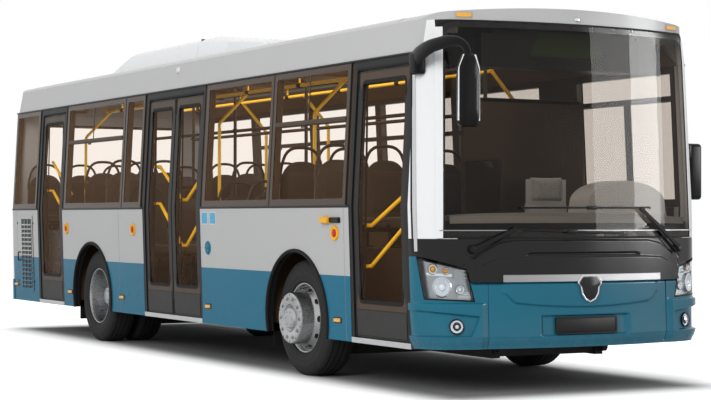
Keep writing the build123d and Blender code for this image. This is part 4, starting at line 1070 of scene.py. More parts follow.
class BUS_OT_doorways(bpy.types.Operator):
    """Sill nosings, door header covers, rubber edges, kick panels and glass gaskets of the door leaves"""
    bl_idname = "bus.doorways"
    bl_label = "Doorways"

    def execute(self, context):
        sills, mats, covers, guides = [], [], [], []
        for x0, x1 in DOORWAYS.values():
            sills.append(strip(RIGHT, x0 + 0.004, x1 - 0.004, SILL_Z - 0.002, FLOOR_Z + 0.004, -0.002, 0.004))
            nosing = (x0 + 0.05, -1.155, FLOOR_Z + 0.0002), (x1 - 0.05, -1.115, FLOOR_Z + 0.006)
            sills.append(rounded_block(*nosing, 0.003, 2))
            a, b, top = x0 + 0.10, x1 - 0.10, FLOOR_Z + 0.005
            mats += [rounded_block((a, y, FLOOR_Z), (b, y + 0.018, top), 0.002, 1)
                     for y in -1.09 + np.arange(7) * 0.05]
            low, high = (x0 + 0.03, -1.125, HEADER_Z + 0.008), (x1 - 0.03, -0.93, 2.52)
            covers.append(rounded_block(low, high, 0.03))
            low, high = HEADER_Z + 0.004, HEADER_Z + 0.018
            guides.append(strip(RIGHT, x0 + 0.05, x1 - 0.05, low, high, 0.0, 0.006, 0.002))
        piece("door_sills", sills, "aluminium", "wheel_metal", bevel=0.001)
        piece("step_ribs", mats, "rail_yellow", "yellow_paint")
        piece("door_header_covers", covers, "ceiling_brown", "grey_plastic")
        piece("door_rain_strips", guides, "rubber", "dark_frame")

        for body, pivot_x, close_x in LEAVES:
            x0, x1 = sorted((pivot_x, close_x))
            place = deep_side(RIGHT, LEAF_RECESS)
            opening = (x0 + LEAF_BORDER, x1 - LEAF_BORDER, 0.645, 2.280)
            rubbers = [patch(place, (x - 0.009, x + 0.009, 0.382, 2.362), -0.030, 0.006)
                       for x in (x0 + 0.005, x1 - 0.005)]
            rubbers += [rounded_frame(place, opening, ((-0.012, -0.017), 0.050), (0.010, 0.015), *depths)
                        for depths in ((-0.0005, 0.004), (-0.040, -0.0345))]
            piece(body + "_rubbers", rubbers, "rubber", "dark_frame", body)
            border = frame_plate(place, rounded((x0, x1, 0.568, 2.373), 0.018, 0.010),
                                 rounded(opening, (-0.014, -0.021), 0.050), -0.001, 0.002)
            piece(body + "_border", border, "frame_brown", "dark_frame", body)
            kick = patch(place, (x0 + 0.022, x1 - 0.022, 0.392, 0.578), 0.0, 0.004)
            inside = patch(place, (x0 + 0.03, x1 - 0.03, 0.40, 0.60), -0.039, -0.0345)
            piece(body + "_kick_panels", [kick, inside], "kick_grey", "dark_plastic", body, bevel=0.001)
        return {"FINISHED"}


# ============================== front ==============================

SCREEN_LOW_Z, SCREEN_HIGH_Z = 1.12, 2.68
SCREEN_HALF_LOW, SCREEN_HALF_HIGH = 1.137, 1.101
APRON_LOW_Z, BUMPER_TOP_Z, BUMPER_LOW_Z = 0.812, 0.809, 0.338
BUMPER_SEAM_Y = 0.79
SKIN_DEPTH = 0.034
LAMP_INNER_LOW, LAMP_INNER_HIGH = (0.889, 0.676), (0.944, 0.903)    # (y, z) of the head lamp's inner edge
LAMP_REAR_LOW, LAMP_REAR_HIGH = (4.380, 0.693), (4.317, 0.985)      # (x, z) of its rear edge
LAMP_GAP = 0.003
FOG_Y, FOG_Z, FOG_BASE = 1.018, 0.500, -0.006
SIDE_S = front_s_at_x(SIDE_FRONT_X + 0.002, 0.7)


def in_front(points):
    """(y, z) points of the front view as (s, z) points of the front skin."""
    return np.array([(front_s(y, z), z) for y, z in points])


def wide_panel(half_low, half_high, z0, z1, low, high, rows, columns):
    """A panel across the front, even about the middle, with half its width at its foot and at its top."""
    corners = in_front([(-half_low, z0), (half_low, z0), (half_high, z1), (-half_high, z1)])
    return panel(on_front, corners, low, high, rows, columns)


def ease(value):
    """0 below 0, 1 above 1 and a smooth S between: three squares less two cubes."""
    t = np.clip(value, 0, 1)
    return t * t * (3 - 2 * t)


def relief_slab(s_range, low_z, high_z, relief, depth, rows, columns):
    """A slab over part of the front skin: straight in s and between two edge heights, which may follow y. Its
    outer sheet is lifted by relief(|y|, z), and its inner one lies a depth inside."""
    def surface(u, v, out):
        s = s_range[0] + (s_range[1] - s_range[0]) * u
        y = np.abs(on_front(s, 0.75)[..., 1])
        z = low_z(y) * (1 - v) + high_z(y) * v
        y = np.abs(on_front(s, z)[..., 1])
        return on_front(s, z, out + (relief(y, z) if out >= 0 else 0.0))
    return slab(surface, rows, columns, -depth, 0.0)


def level(z):
    return lambda y: np.full_like(y, z)


def lower_roll(z):
    """The bumper's foot turns in below the crease."""
    return -0.030 * ease((0.428 - z) / 0.095) ** 1.4 - 0.004 * ease((0.424 - z) / 0.012)


def top_roll(z):
    """The bumper's top edge turns in under the apron."""
    return -0.010 * ease((z - 0.793) / 0.016)


def bumper_middle(y, z):
    """A proud upper panel with a smile-shaped lower edge, and a sunk place for the plate."""
    smile = 0.622 + 0.034 * (y / 0.6) ** 2 + 0.055 * np.clip((y - 0.57) / 0.085, 0, 1) ** 2
    upper = 0.020 * ease((z - smile) / 0.014) * ease((0.70 - y) / 0.055)
    sunk = ease((0.405 - y) / 0.050) * ease((z - 0.418) / 0.014) * ease((0.574 - z) / 0.014)
    seam = -0.006 * ease((y - 0.780) / 0.009)
    return upper - 0.026 * sunk + top_roll(z) + lower_roll(z) + seam


def bumper_corner(y, z):
    """A ledge under the head lamp and a pocket round the fog lamp, with a slanted inner edge."""
    ledge = 0.022 * ease((0.672 - z) / 0.016) * ease((y - 0.80) / 0.05)
    inner = 0.853 + (0.567 - z) * 0.41
    top = 0.575 + (y - 0.853) * 0.114
    pocket = ease((y - inner) / 0.016) * ease((z - 0.426) / 0.013) * ease((top - z) / 0.016)
    seam = -0.006 * ease((0.801 - y) / 0.009)
    return ledge - 0.030 * pocket * ease((1.238 - y) / 0.030) + lower_roll(z) + seam


def lamp_low(y):
    """Height of the head lamp's lower edge."""
    return LAMP_INNER_LOW[1] - LAMP_GAP + np.maximum(y - LAMP_INNER_LOW[0], 0) * 0.055


class BUS_OT_bumper(bpy.types.Operator):
    """The front bumper with its creases, ledges, fog pockets, fog lamps and sunk plate"""
    bl_idname = "bus.bumper"
    bl_label = "Front bumper"

    def execute(self, context):
        seam = float(front_s(BUMPER_SEAM_Y, 0.6))
        gap = 0.0015
        edge = float(front_s(LAMP_INNER_LOW[0] - LAMP_GAP, LAMP_INNER_LOW[1]))
        starts = [front_s_at_x(LAMP_REAR_LOW[0] - LAMP_GAP, 0.7),
                  front_s_at_x(LAMP_REAR_HIGH[0] - LAMP_GAP, 0.98)]

        def beside_lamp(u, v, out):
            """The strip between the seam and the lamp's slanted inner edge."""
            z = (LAMP_INNER_LOW[1] - LAMP_GAP) * (1 - v) + BUMPER_TOP_Z * v
            lean = (z - LAMP_INNER_LOW[1]) * 0.242
            s = seam + gap + (edge + lean - seam - gap) * u
            return on_front(s, z, out + (top_roll(z) if out >= 0 else 0.0))

        def wing(u, v, out):
            """The part behind the lamp, up to the apron's slanted edge."""
            z = lamp_low(1.2) * (1 - v) + (apron_low(1.235) - LAMP_GAP) * v
            start = np.interp(v, [0, 1], starts)
            return on_front(start + (SIDE_S - start) * u, z, out)

        foot, top, deep = level(BUMPER_LOW_Z), level(BUMPER_TOP_Z), SKIN_DEPTH
        middle = relief_slab((-seam + gap, seam - gap), foot, top, bumper_middle, deep, 260, 96)
        side = both([relief_slab((seam + gap, SIDE_S), foot, lamp_low, bumper_corner, deep, 120, 84),
                     slab(beside_lamp, 12, 20, -deep, 0.0), slab(wing, 12, 24, -deep, 0.0)])
        piece("front_bumper_skin", [middle, side], "front_teal", "teal_paint", "root", "front_bumper", 50)

        plate_box = (-0.27, 0.27, 0.434, 0.553)
        steps = [(0, 0.012, -0.021), (0, 0.012, -0.009), (0.005, 0.010, -0.007)]
        rim = rounded_frame(on_front, plate_box, (-0.002, 0.013), (0.008, 0.009), -0.012, -0.004, 3)
        piece("front_plate", raised(on_front, plate_box, steps, 3), "black_plastic", "dark_plastic")
        piece("front_plate_rim", rim, "charcoal", "dark_plastic")

        s = float(front_s(FOG_Y, FOG_Z))
        for name, look, profile in (
                ("fog_lamp_rings", "black_plastic",
                 [(-0.004, 0.056), (0.010, 0.054), (0.013, 0.049), (0.004, 0.047), (0.001, 0.046)]),
                ("fog_lamp_bowls", "reflector",
                 [(-0.002, 0.046), (0.002, 0.045), (-0.0005, 0.016), (0.010, 0.013), (0.013, 0.002)]),
                ("fog_lamp_lenses", "lens_clear",
                 [(0.004, 0.047), (0.011, 0.046), (0.018, 0.030), (0.021, 0.003)])):
            form = boss(on_front, s, FOG_Z, [(FOG_BASE + out, radius) for out, radius in profile], 40)
            piece(name, both([form]), look, "lamp_glass")
        return {"FINISHED"}


def apron_low(y):
    """Lower edge of the black apron: level in the middle, steep beside the lamp, then up along its top."""
    return np.interp(y, [0, 0.919, 0.941, 1.30], [APRON_LOW_Z, APRON_LOW_Z, 0.905, 1.017])


def apron_relief(y, z):
    """Two stepped shields: an inner one with cut corners and a wider one that runs out to the wiper wells."""
    inner = np.interp(y, [0, 0.531, 0.723, 0.845, 0.905, 0.94], [0.994, 0.994, 0.985, 0.930, 0.850, 0.80])
    outer = np.interp(y, [0, 0.60, 0.72, 0.85, 0.95], [1.115, 1.112, 1.090, 1.022, 0.94])
    slot_top = 1.022 - 0.03 * ease((y - 0.46) / 0.07)
    slot = -0.012 * ease((z - 0.998) / 0.006) * ease((slot_top - z) / 0.008) * ease((0.53 - y) / 0.03)
    return 0.014 * ease((inner - z) / 0.010) + 0.012 * ease((outer - z) / 0.012) + slot


class BUS_OT_apron(bpy.types.Operator):
    """The stepped black apron below the windscreen, the bright bar, a satin strip painted as the highlight along the
    apron's top edge, and a bare shield
    """
    bl_idname = "bus.apron"
    bl_label = "Front apron"

    def execute(self, context):
        skin = relief_slab((-SIDE_S, SIDE_S), apron_low, level(SCREEN_LOW_Z), apron_relief, 0.036, 300, 64)
        piece("front_apron_skin", skin, "apron_black", "black_gloss", stands_for="front_apron", sharp=60)
        bar = wide_panel(0.69, 0.69, 0.8115, 0.864, 0.018, 0.035, 80, 4)
        piece("apron_bar", bar, "bar_satin", "wheel_metal", bevel=0.003)
        # Painted highlight: a thin satin metal strip along the apron's top edge stands in for the light caught by its
        # rounded edge.
        ledge = wide_panel(1.12, 1.12, 1.176, 1.183, 0.0, 0.012, 80, 2)
        piece("apron_ledge", ledge, "bar_satin", "wheel_metal")

        shield = np.array([(0.0, -0.099), (0.044, -0.080), (0.074, -0.036), (0.083, 0.016), (0.106, 0.042),
                           (0.106, 0.056), (0.070, 0.099), (0.0, 0.101)])
        shield = np.vstack([shield, shield[-2:0:-1] * [-1, 1]])
        for name, look, slot, steps in (
                ("shield_frame", "chrome", "wheel_metal",
                 [(1.0, 0.0), (1.0, 0.038), (0.93, 0.044), (0.87, 0.038)]),
                ("shield_face", "gloss_black", "black_gloss", [(0.86, 0.032), (0.86, 0.038), (0.45, 0.043)])):
            loops = [(shield * scale + [0, 0.757], out) for scale, out in steps]
            piece(name, lofted(on_front, loops), look, slot, sharp=25)
        return {"FINISHED"}


class BUS_OT_head_lamps(bpy.types.Operator):
    """Head lamps: clear cover, bezel, housing, two round lamps, turn lamp and a slatted corner"""
    bl_idname = "bus.head_lamps"
    bl_label = "Head lamps"

    def execute(self, context):
        rear = [(front_s_at_x(x, z), z) for x, z in (LAMP_REAR_LOW, LAMP_REAR_HIGH)]
        inner = in_front([LAMP_INNER_LOW, LAMP_INNER_HIGH])
        corners = np.array([inner[0], rear[0], rear[1], inner[1]])
        middle = corners.mean(axis=0)
        reach = np.abs(corners - middle).mean(axis=0)

        def inset(width):
            """The outline drawn in by a width, by scaling it about its middle."""
            return middle + (corners - middle) * (1 - width / reach)

        def slat(y0, y1, z0, rise, height, back, front):
            """A bar that leans and tapers, from a depth to a depth."""
            bar = in_front([(y0, z0), (y1, z0 + rise), (y1, z0 + rise + height), (y0 + 0.002, z0 + height)])
            return lofted(on_front, [(bar, back), (bar, front)])

        cover = panel(on_front, inset(0.002), -0.006, 0.001, 16, 12)
        bezel = frame_plate(on_front, divided(inset(0.001), 14), divided(inset(0.008), 14), -0.040, 0.0016)
        bright, dark, glass, amber = [], [panel(on_front, inset(0.004), -0.043, -0.038, 16, 12)], [], []
        bowl = [(-0.040, 1.10), (-0.014, 1.10), (-0.010, 1.0), (-0.018, 0.92), (-0.021, 0.90), (-0.024, 0.70),
                (-0.027, 0.68), (-0.036, 0.34)]
        for y, z, radius, bulbs in ((1.112, 0.778, 0.066, glass), (0.985, 0.760, 0.032, glass),
                                    (1.165, 0.905, 0.036, amber), (1.085, 0.890, 0.026, amber)):
            s = float(front_s(y, z))
            profile = [(out, radius * r) for out, r in bowl] + [(-0.037, 0.002)]
            bright.append(boss(on_front, s, z, profile, 40))
            bulbs.append(boss(on_front, s, z, [(-0.037, radius * 0.36), (-0.020, radius * 0.36),
                                               (-0.012, radius * 0.22), (-0.010, 0.002)], 24))
        dark += [slat(0.930, 1.030, 0.836 + k * 0.024, 0.008, 0.012, -0.039, -0.016) for k in range(3)]
        bright += [slat(0.905, 1.000, 0.700 + k * 0.012, 0.001, 0.004, -0.039, -0.026) for k in range(4)]
        brow = divided(in_front([(1.040, 0.872), (1.200, 0.880), (1.196, 0.862), (1.042, 0.852)]), 4)
        bright.append(lofted(on_front, [(brow, -0.039), (brow, -0.020)]))
        for name, forms, look in (("head_lamp_covers", [cover], "lens_clear"),
                                  ("head_lamp_bezels", [bezel], "black_plastic"),
                                  ("head_lamp_housings", dark, "lamp_housing"),
                                  ("head_lamp_bowls", bright, "reflector"),
                                  ("head_lamp_bulbs", glass, "lens_white"),
                                  ("turn_lamp_bulbs", amber, "amber_lens")):
            piece(name, both(forms), look, "lamp_glass", stands_for="lamps")
        return {"FINISHED"}


class BUS_OT_windscreen_trim(bpy.types.Operator):
    """Windscreen rubber and border, corner pillar strips, roof lip lamps and the destination screen"""
    bl_idname = "bus.windscreen_trim"
    bl_label = "Windscreen trim"

    def execute(self, context):
        low, high = SCREEN_LOW_Z + 0.004, SCREEN_HIGH_Z - 0.003

        def edge(inset, radius_low, radius_high):
            """The screen's outline drawn in by an inset, its corners rounded, its runs in short lengths."""
            a, b = SCREEN_HALF_LOW - inset, SCREEN_HALF_HIGH - inset
            corners = np.array([(-a, low + inset), (a, low + inset), (b, high - inset), (-b, high - inset)])
            radii = (radius_low, radius_low, radius_high, radius_high)
            ends = zip(np.roll(corners, 1, 0), corners, np.roll(corners, -1, 0), radii)
            return in_front(divided(np.vstack([cut_corner(*end, 6) for end in ends]), 10))

        outer, middle, inner = edge(-0.002, 0.012, 0.10), edge(0.012, 0.015, 0.10), edge(0.050, 0.04, 0.09)
        ring = frame_plate(on_front, outer, middle, -0.006, 0.004)
        border = frame_plate(on_front, middle, inner, 0.0004, 0.0012)
        piece("windscreen_rubber", ring, "rubber", "dark_frame")
        piece("windscreen_border", border, "gloss_black", "dark_frame")
        a, b, wide = SCREEN_HALF_LOW + 0.004, SCREEN_HALF_HIGH + 0.004, 0.042
        corners = in_front([(a - wide, low), (a, low), (b, high - 0.05), (b - wide, high - 0.05)])
        cover = panel(on_front, corners, 0.002, 0.008, 4, 50)
        piece("pillar_covers", both([cover]), "gloss_white", "white_paint", bevel=0.002)
        for name, x0, x1, look, slot in (("pillar_strips", 4.262, 4.292, "aluminium", "wheel_metal"),
                                         ("pillar_edges", 4.238, 4.252, "black_plastic", "dark_frame")):
            box = (front_s_at_x(x0, 1.8), front_s_at_x(x1, 1.8), 1.03, 2.44)
            piece(name, both([patch(on_front, box, 0.0, 0.005, 4, 40)]), look, slot)

        for name, look, slot, inset, back, front in (
                ("roof_marker_bases", "lining_grey", "grey_plastic", -0.010, -0.006, 0.004),
                ("roof_marker_lenses", "amber_lens", "lamp_glass", 0.0, -0.004, 0.012)):
            boxes = [box_at(float(front_s(y, 2.71)), 2.713, 0.055, 0.015) for y in (-0.924, 0.924)]
            steps = [(inset, 0.008, back), (inset, 0.008, front)]
            piece(name, [raised(on_front, box, steps) for box in boxes], look, slot, bevel=0.002)
        front_dome = [(-0.01, 0.018), (0.006, 0.018), (0.014, 0.012), (0.016, 0.002)]
        side_dome = [(-0.002, 0.034), (0.008, 0.031), (0.020, 0.018), (0.024, 0.002)]
        cameras = [boss(on_front, -0.035, 2.712, front_dome, 24, 1.4),
                   boss(deep_side(RIGHT), -0.13, 2.632, side_dome, 20)]
        piece("roof_cameras", cameras, "chrome", "wheel_metal")

        blind = wide_panel(1.04, 1.03, 2.36, 2.672, -0.185, -0.175, 40, 4)
        screen_box = (-0.66, 0.72, 2.445, 2.635)
        border = rounded_frame(on_front, screen_box, (-0.02, 0.02), (0.005, 0.01), -0.175, -0.160, 3)
        piece("display_blind", blind, "charcoal", "dark_plastic")
        screen = patch(on_front, screen_box, -0.174, -0.168, 40, 4)
        piece("display_screen", screen, "display_dark", "black_gloss")
        piece("display_frame", border, "black_plastic", "dark_plastic")
        return {"FINISHED"}


class BUS_OT_mirrors(bpy.types.Operator):
    """Mirrors: a foot, a curved arm and a shaped head with bright edges, and a small one at the left"""
    bl_idname = "bus.mirrors"
    bl_label = "Mirrors"

    def execute(self, context):
        path = smooth_path([(4.262, -1.218, 2.372), (4.36, -1.232, 2.425), (4.50, -1.236, 2.468),
                            (4.70, -1.205, 2.494), (4.80, -1.175, 2.486), (4.852, -1.150, 2.452),
                            (4.872, -1.142, 2.385)], 0.08, 6)
        share = np.linspace(0, 1, len(path))
        wide = (0.062 * (1 - share) ** 1.6 + 0.034) * 0.78
        sections = np.stack([round_profile(1.0, 16) * [width, 0.025] for width in wide])
        arm = outward(swept(path, sections, (0.0, 1.0, 0.0)))
        foot = rounded_block((4.240, -1.252, 2.288), (4.352, -1.165, 2.448), 0.022, 4)
        bolt = boss(on_front, -front_s_at_x(4.29, 2.3), 2.31, [(0.0, 0.008), (0.004, 0.006)], 8)

        outline = np.array([(-1.198, 1.893), (-1.080, 1.893), (-1.062, 1.925), (-1.060, 2.290),
                            (-1.098, 2.398), (-1.172, 2.404), (-1.218, 2.300), (-1.219, 1.925)])
        centre = outline.mean(axis=0)

        def head_outline(scale):
            """The head's outline scaled about its middle, with its corners rounded."""
            loop = centre + (outline - centre) * scale
            return smooth_path(np.vstack([loop[-1:], loop, loop[:1]]), 0.018, 3)[1:-1]

        stations = [(0.90, 4.833), (0.985, 4.838), (1.0, 4.852), (1.0, 4.880), (0.95, 4.900), (0.80, 4.911),
                    (0.40, 4.913)]
        head = lofted(flat_at(x=0.0), [(head_outline(scale), x) for scale, x in stations])
        small = rounded_block((4.231, 1.252, 1.412), (4.293, 1.379, 1.849), 0.028, 4)
        small_arm = tube([(4.262, 1.225, 1.785), (4.262, 1.268, 1.812), (4.262, 1.310, 1.826)], 0.014, 0.02)
        small_foot = rounded_block((4.240, 1.205, 1.725), (4.318, 1.258, 1.848), 0.018, 3)
        edges = [tube([(x, foot_y, 1.935), (x, y, 2.290), (x, top_y, 2.388)], 0.0075, 0.02, 8, (1, 0, 0))
                 for x, foot_y, y, top_y in ((4.872, -1.219, -1.216, -1.176),
                                             (4.899, -1.072, -1.072, -1.104))]
        glass = lofted(flat_at(x=4.834), [(head_outline(0.84), -0.001), (head_outline(0.84), 0.003)])
        steps = [(0, 0.02, 0.0), (0, 0.02, 0.004)]
        glasses = [glass, raised(flat_at(x=4.229), (1.264, 1.368, 1.425, 1.836), steps)]
        bodies = [arm, foot, bolt, head, small, small_arm, small_foot]
        piece("mirror_bodies", bodies, "mirror_black", "dark_plastic", stands_for="mirrors", sharp=50)
        piece("mirror_edges", edges, "gloss_white", "grey_plastic", stands_for="mirrors")
        piece("mirror_glasses", glasses, "chrome", "wheel_metal", stands_for="mirrors")
        return {"FINISHED"}


# Wipers: the pivot, the arm's end, and the two ends of the blade, as (y, z) in the front view.
WIPERS = [((-0.900, 1.045), (-0.580, 1.193), (-0.610, 1.187), (0.340, 1.158)),
          ((0.925, 1.045), (0.500, 1.345), (-0.540, 1.341), (0.615, 1.346))]


class BUS_OT_wipers(bpy.types.Operator):
    """Wipers: spindle caps, flat arms with a second link, blade bars and rubber lips"""
    bl_idname = "bus.wipers"
    bl_label = "Wipers"

    def execute(self, context):
        bars, lips = [], []

        def along(start, end, share, out, drop=0.0):
            """Points on the skin along a line between two places, at a depth, and dropped by a height."""
            line = np.array(start) * (1 - share[:, None]) + np.array(end) * share[:, None]
            line[:, 1] -= drop
            depths = np.broadcast_to(out, len(line))
            return np.array([on_front(front_s(y, z), z, depth) for (y, z), depth in zip(line, depths)])

        def bar_profile(half_foot, half_top, foot, top):
            return np.array([(-half_foot, foot), (half_foot, foot), (half_top, top), (-half_top, top)])

        for pivot, knee, low_end, high_end in WIPERS:
            cap = [(0.0, 0.034), (0.030, 0.030), (0.044, 0.022), (0.047, 0.003)]
            share, blade = np.linspace(0, 1, 12), np.linspace(0, 1, 26)
            arm = along(pivot, knee, share, 0.036 - 0.006 * share)
            link = along(pivot, knee, share, 0.030, 0.045 * (1 - share) + 0.012)
            spine = along(low_end, high_end, blade, 0.020 + 0.007 * np.sin(math.pi * blade))
            lip = along(low_end, high_end, blade, 0.008)
            centre = along(low_end, high_end, np.array([0.5]), 0.030)[0]
            bars += [boss(on_front, float(front_s(*pivot)), pivot[1], cap, 24),
                     swept(arm, bar_profile(0.017, 0.012, -0.005, 0.006), (1, 0, 0)),
                     swept(link, round_profile(0.0045, 6), (1, 0, 0)),
                     swept(spine, bar_profile(0.008, 0.006, -0.003, 0.004), (1, 0, 0)),
                     rounded_block(centre - [0.010, 0.045, 0.014], centre + [0.006, 0.045, 0.014], 0.006, 2)]
            lips.append(swept(lip, bar_profile(0.003, 0.004, -0.005, 0.009), (1, 0, 0)))
        piece("wiper_arms", bars, "black_plastic", "dark_plastic", stands_for="wipers", sharp=50)
        piece("wiper_lips", lips, "rubber", "dark_plastic", stands_for="wipers")
        return {"FINISHED"}


# ============================== wheels ==============================

TYRE_HALF, RIM_RADIUS, RIM_INSET = 0.134, 0.288, 0.026
FRONT_TYRE_Y, TWIN_OUTER_Y, TWIN_INNER_Y = 1.032, 1.032, 0.720
FRONT_FLANGE_Y, REAR_DISC_Y = 1.282, 0.876

# Half of a tyre's cross-section, from the middle of the tread out to the bead, as (across, radius).
TYRE_PROFILE = [
    (0.000, 0.4650), (0.018, 0.4650), (0.0205, 0.4520), (0.0275, 0.4520), (0.030, 0.4650), (0.048, 0.4650),
    (0.066, 0.4648), (0.0685, 0.4515), (0.0755, 0.4515), (0.078, 0.4645), (0.090, 0.4638), (0.104, 0.4590),
    (0.113, 0.4500), (0.119, 0.4380), (0.124, 0.4250), (0.130, 0.4000), (0.1325, 0.3880), (0.1335, 0.3840),
    (0.1320, 0.3800), (0.1340, 0.3600), (0.1330, 0.3400), (0.1335, 0.3370), (0.1315, 0.3340),
    (0.1290, 0.3160),
    (0.1240, 0.3000), (0.1230, 0.2950), (0.1160, 0.2905), (0.1080, 0.2740)]
SHOULDER = (0.43, 0.464)                           # radii that the cross grooves lie between
GROOVE_DEPTH, ZIGZAG = 0.009, 0.0022


def tyre(centre_x, centre_y):
    """A tyre: its cross-section turned about the axle line. The ribs' edges run in a zigzag round the tread,
    and every third column of the shoulder is a cross groove."""
    half = np.array(TYRE_PROFILE)
    profile = np.vstack([half[::-1] * [-1, 1], half[1:]])
    k = np.arange(3 * sizes().tread_blocks)
    angle = k * 2 * math.pi / len(k)
    across, radius = profile[:, :1], profile[:, 1:]
    on_tread = (np.abs(across) < 0.08) & (np.abs(across) > 0.01)
    lug = (radius > SHOULDER[0]) & (radius < SHOULDER[1]) & (np.abs(across) > 0.08)
    across = across + on_tread * ZIGZAG * (1 - 2 * (k % 2))
    radius = radius - lug * (k % 3 == 0) * GROOVE_DEPTH
    x, z = centre_x + radius * np.cos(angle), AXLE_Z + radius * np.sin(angle)
    return outward(Form(np.stack([x, centre_y + across, z], axis=-1),
                        outline_faces(len(profile), len(k), True)))


def wheel_disc(centre_x, base_y, profile):
    """A steel disc, from (across, radius) points counted from a place across the bus."""
    return turned(profile, (centre_x, base_y, AXLE_Z), 96, "y", True)


def rim_barrel(centre_x, inner_y, outer_y):
    """The rim's barrel with its rolled lip, reaching in a little from the tyre's two sides."""
    lip = [(0.0, 0.014), (0.004, 0.010), (0.007, 0.009), (0.008, 0.014), (0.005, 0.019), (-0.006, 0.022),
           (-0.020, 0.027)]
    inner_y, outer_y = inner_y - TYRE_HALF + RIM_INSET, outer_y + TYRE_HALF - RIM_INSET
    profile = [(outer_y + across, RIM_RADIUS - drop) for across, drop in lip]
    ends = [(inner_y, RIM_RADIUS - 0.027), (inner_y, RIM_RADIUS - 0.014)]
    return turned(profile + ends, (centre_x, 0, AXLE_Z), 72, "y", True)


def on_cone(centre_x, first, last):
    """The skin of a cone between two (y, radius) points: a is metres round it, b runs 0 to 1 along it."""
    (y0, r0), (y1, r1) = first, last
    middle = (r0 + r1) / 2
    length = math.hypot(y1 - y0, r1 - r0)

    def place(a, b, out):
        a, b, out = arrays(a, b, out)
        y = y0 + (y1 - y0) * b + (r0 - r1) / length * out
        r = r0 + (r1 - r0) * b + (y1 - y0) / length * out
        return np.stack([centre_x + r * np.cos(a / middle), y, AXLE_Z + r * np.sin(a / middle)], axis=-1)
    return place, length, middle


def ovals(centre_x, first, last, count, wide, tall):
    """Openings drawn as thin dark patches, painted shade where one would see through the holes, and their raised lips,
    spaced evenly round a cone.
    """
    place, length, middle = on_cone(centre_x, first, last)
    holes, lips = [], []
    # Each opening is a thin black slab on the cone, painted shade in place of a hole.
    for a in np.arange(count) * 2 * math.pi * middle / count:
        inner, outer = [disc_outline(0, 0, 1.0, 20) * [wide / 2 + edge, (tall / 2 + edge) / length] + [a, 0.5]
                        for edge in (0.0, 0.005)]
        holes.append(lofted(place, [(inner, -0.002), (inner, 0.0008)]))
        lips.append(frame_plate(place, outer, inner, -0.002, 0.003))
    return together(holes), together(lips)


def ring_of(centre_x, circle, count, turn=0.0):
    """Places evenly round a circle about the axle, as (x, z)."""
    angle = (np.arange(count) + turn) * 2 * math.pi / count
    return np.column_stack([centre_x + circle * np.cos(angle), AXLE_Z + circle * np.sin(angle)])


def nuts(centre_x, face_y, circle, count, size, height):
    """Six-sided nuts with a washer and a stud end, evenly round a circle on a face square to the axle."""
    place = flat_at(y=face_y)
    forms = []
    for x, z in ring_of(centre_x, circle, count):
        forms += [boss(place, x, z, [(-0.001, size * 1.25), (0.002, size * 1.25)], 12),
                  boss(place, x, z, [(0.001, size), (height * 0.75, size), (height * 0.82, size * 0.86)], 6),
                  boss(place, x, z, [(height * 0.7, size * 0.5), (height, size * 0.5)], 8)]
    return together(forms)


def front_rim():
    """The steered wheel's steel disc, dished out to the hub flange, seen on the driver's side."""
    x, y = FRONT_AXLE_X, FRONT_FLANGE_Y
    body = wheel_disc(x, y, [
        (-0.182, 0.262), (-0.178, 0.252), (-0.170, 0.247), (-0.124, 0.215), (-0.112, 0.209), (-0.020, 0.204),
        (-0.006, 0.200), (0.0, 0.192), (0.0, 0.118), (-0.003, 0.112), (-0.020, 0.104), (-0.024, 0.098),
        (-0.020, 0.090), (-0.014, 0.086), (0.002, 0.082), (0.009, 0.074), (0.0105, 0.040), (0.0105, 0.0005),
        (-0.192, 0.0005), (-0.192, 0.262)])
    holes, lips = ovals(x, (y - 0.170, 0.247), (y - 0.124, 0.215), 10, 0.052, 0.034)
    fasteners = [nuts(x, y, 0.158, 10, 0.0135, 0.0135), nuts(x, y + 0.0095, 0.054, 6, 0.006, 0.004)]
    slot = [(-0.001, 0.006), (0.0006, 0.006)]
    # The slot marks are small dark discs on the face, painted shade in place of slots.
    slots = [boss(flat_at(y=y), *spot, slot, 10) for spot in ring_of(x, 0.188, 10, 0.5)]
    stem = [(x + 0.242, 1.108, AXLE_Z), (x + 0.262, 1.135, AXLE_Z), (x + 0.268, 1.150, AXLE_Z)]
    barrel = rim_barrel(x, FRONT_TYRE_Y, FRONT_TYRE_Y)
    # The second list is drawn dark: the opening and slot patches are painted shade, and the valve stem is its own dark
    # rubber.
    return [body, lips] + fasteners + [barrel], [holes, tube(stem, 0.004, 0.01, 8)] + slots


def rear_rim():
    """The driven twin wheel's outer disc, dished in, with the hub end in its middle, on the driver's side."""
    x, y = REAR_AXLE_X, REAR_DISC_Y
    body = wheel_disc(x, y, [
        (0.085, 0.262), (0.082, 0.255), (0.030, 0.196), (0.022, 0.190), (0.022, 0.152), (0.032, 0.147),
        (0.150, 0.104), (0.160, 0.096), (0.180, 0.088), (0.188, 0.078), (0.190, 0.040), (0.190, 0.0005),
        (-0.012, 0.0005), (-0.012, 0.262)])
    holes, lips = ovals(x, (y + 0.082, 0.255), (y + 0.030, 0.196), 10, 0.054, 0.046)
    fasteners = [nuts(x, y + 0.022, 0.170, 10, 0.0155, 0.026), nuts(x, y + 0.189, 0.058, 8, 0.007, 0.006)]
    return [body, lips] + fasteners + [rim_barrel(x, TWIN_INNER_Y, TWIN_OUTER_Y)], [holes]


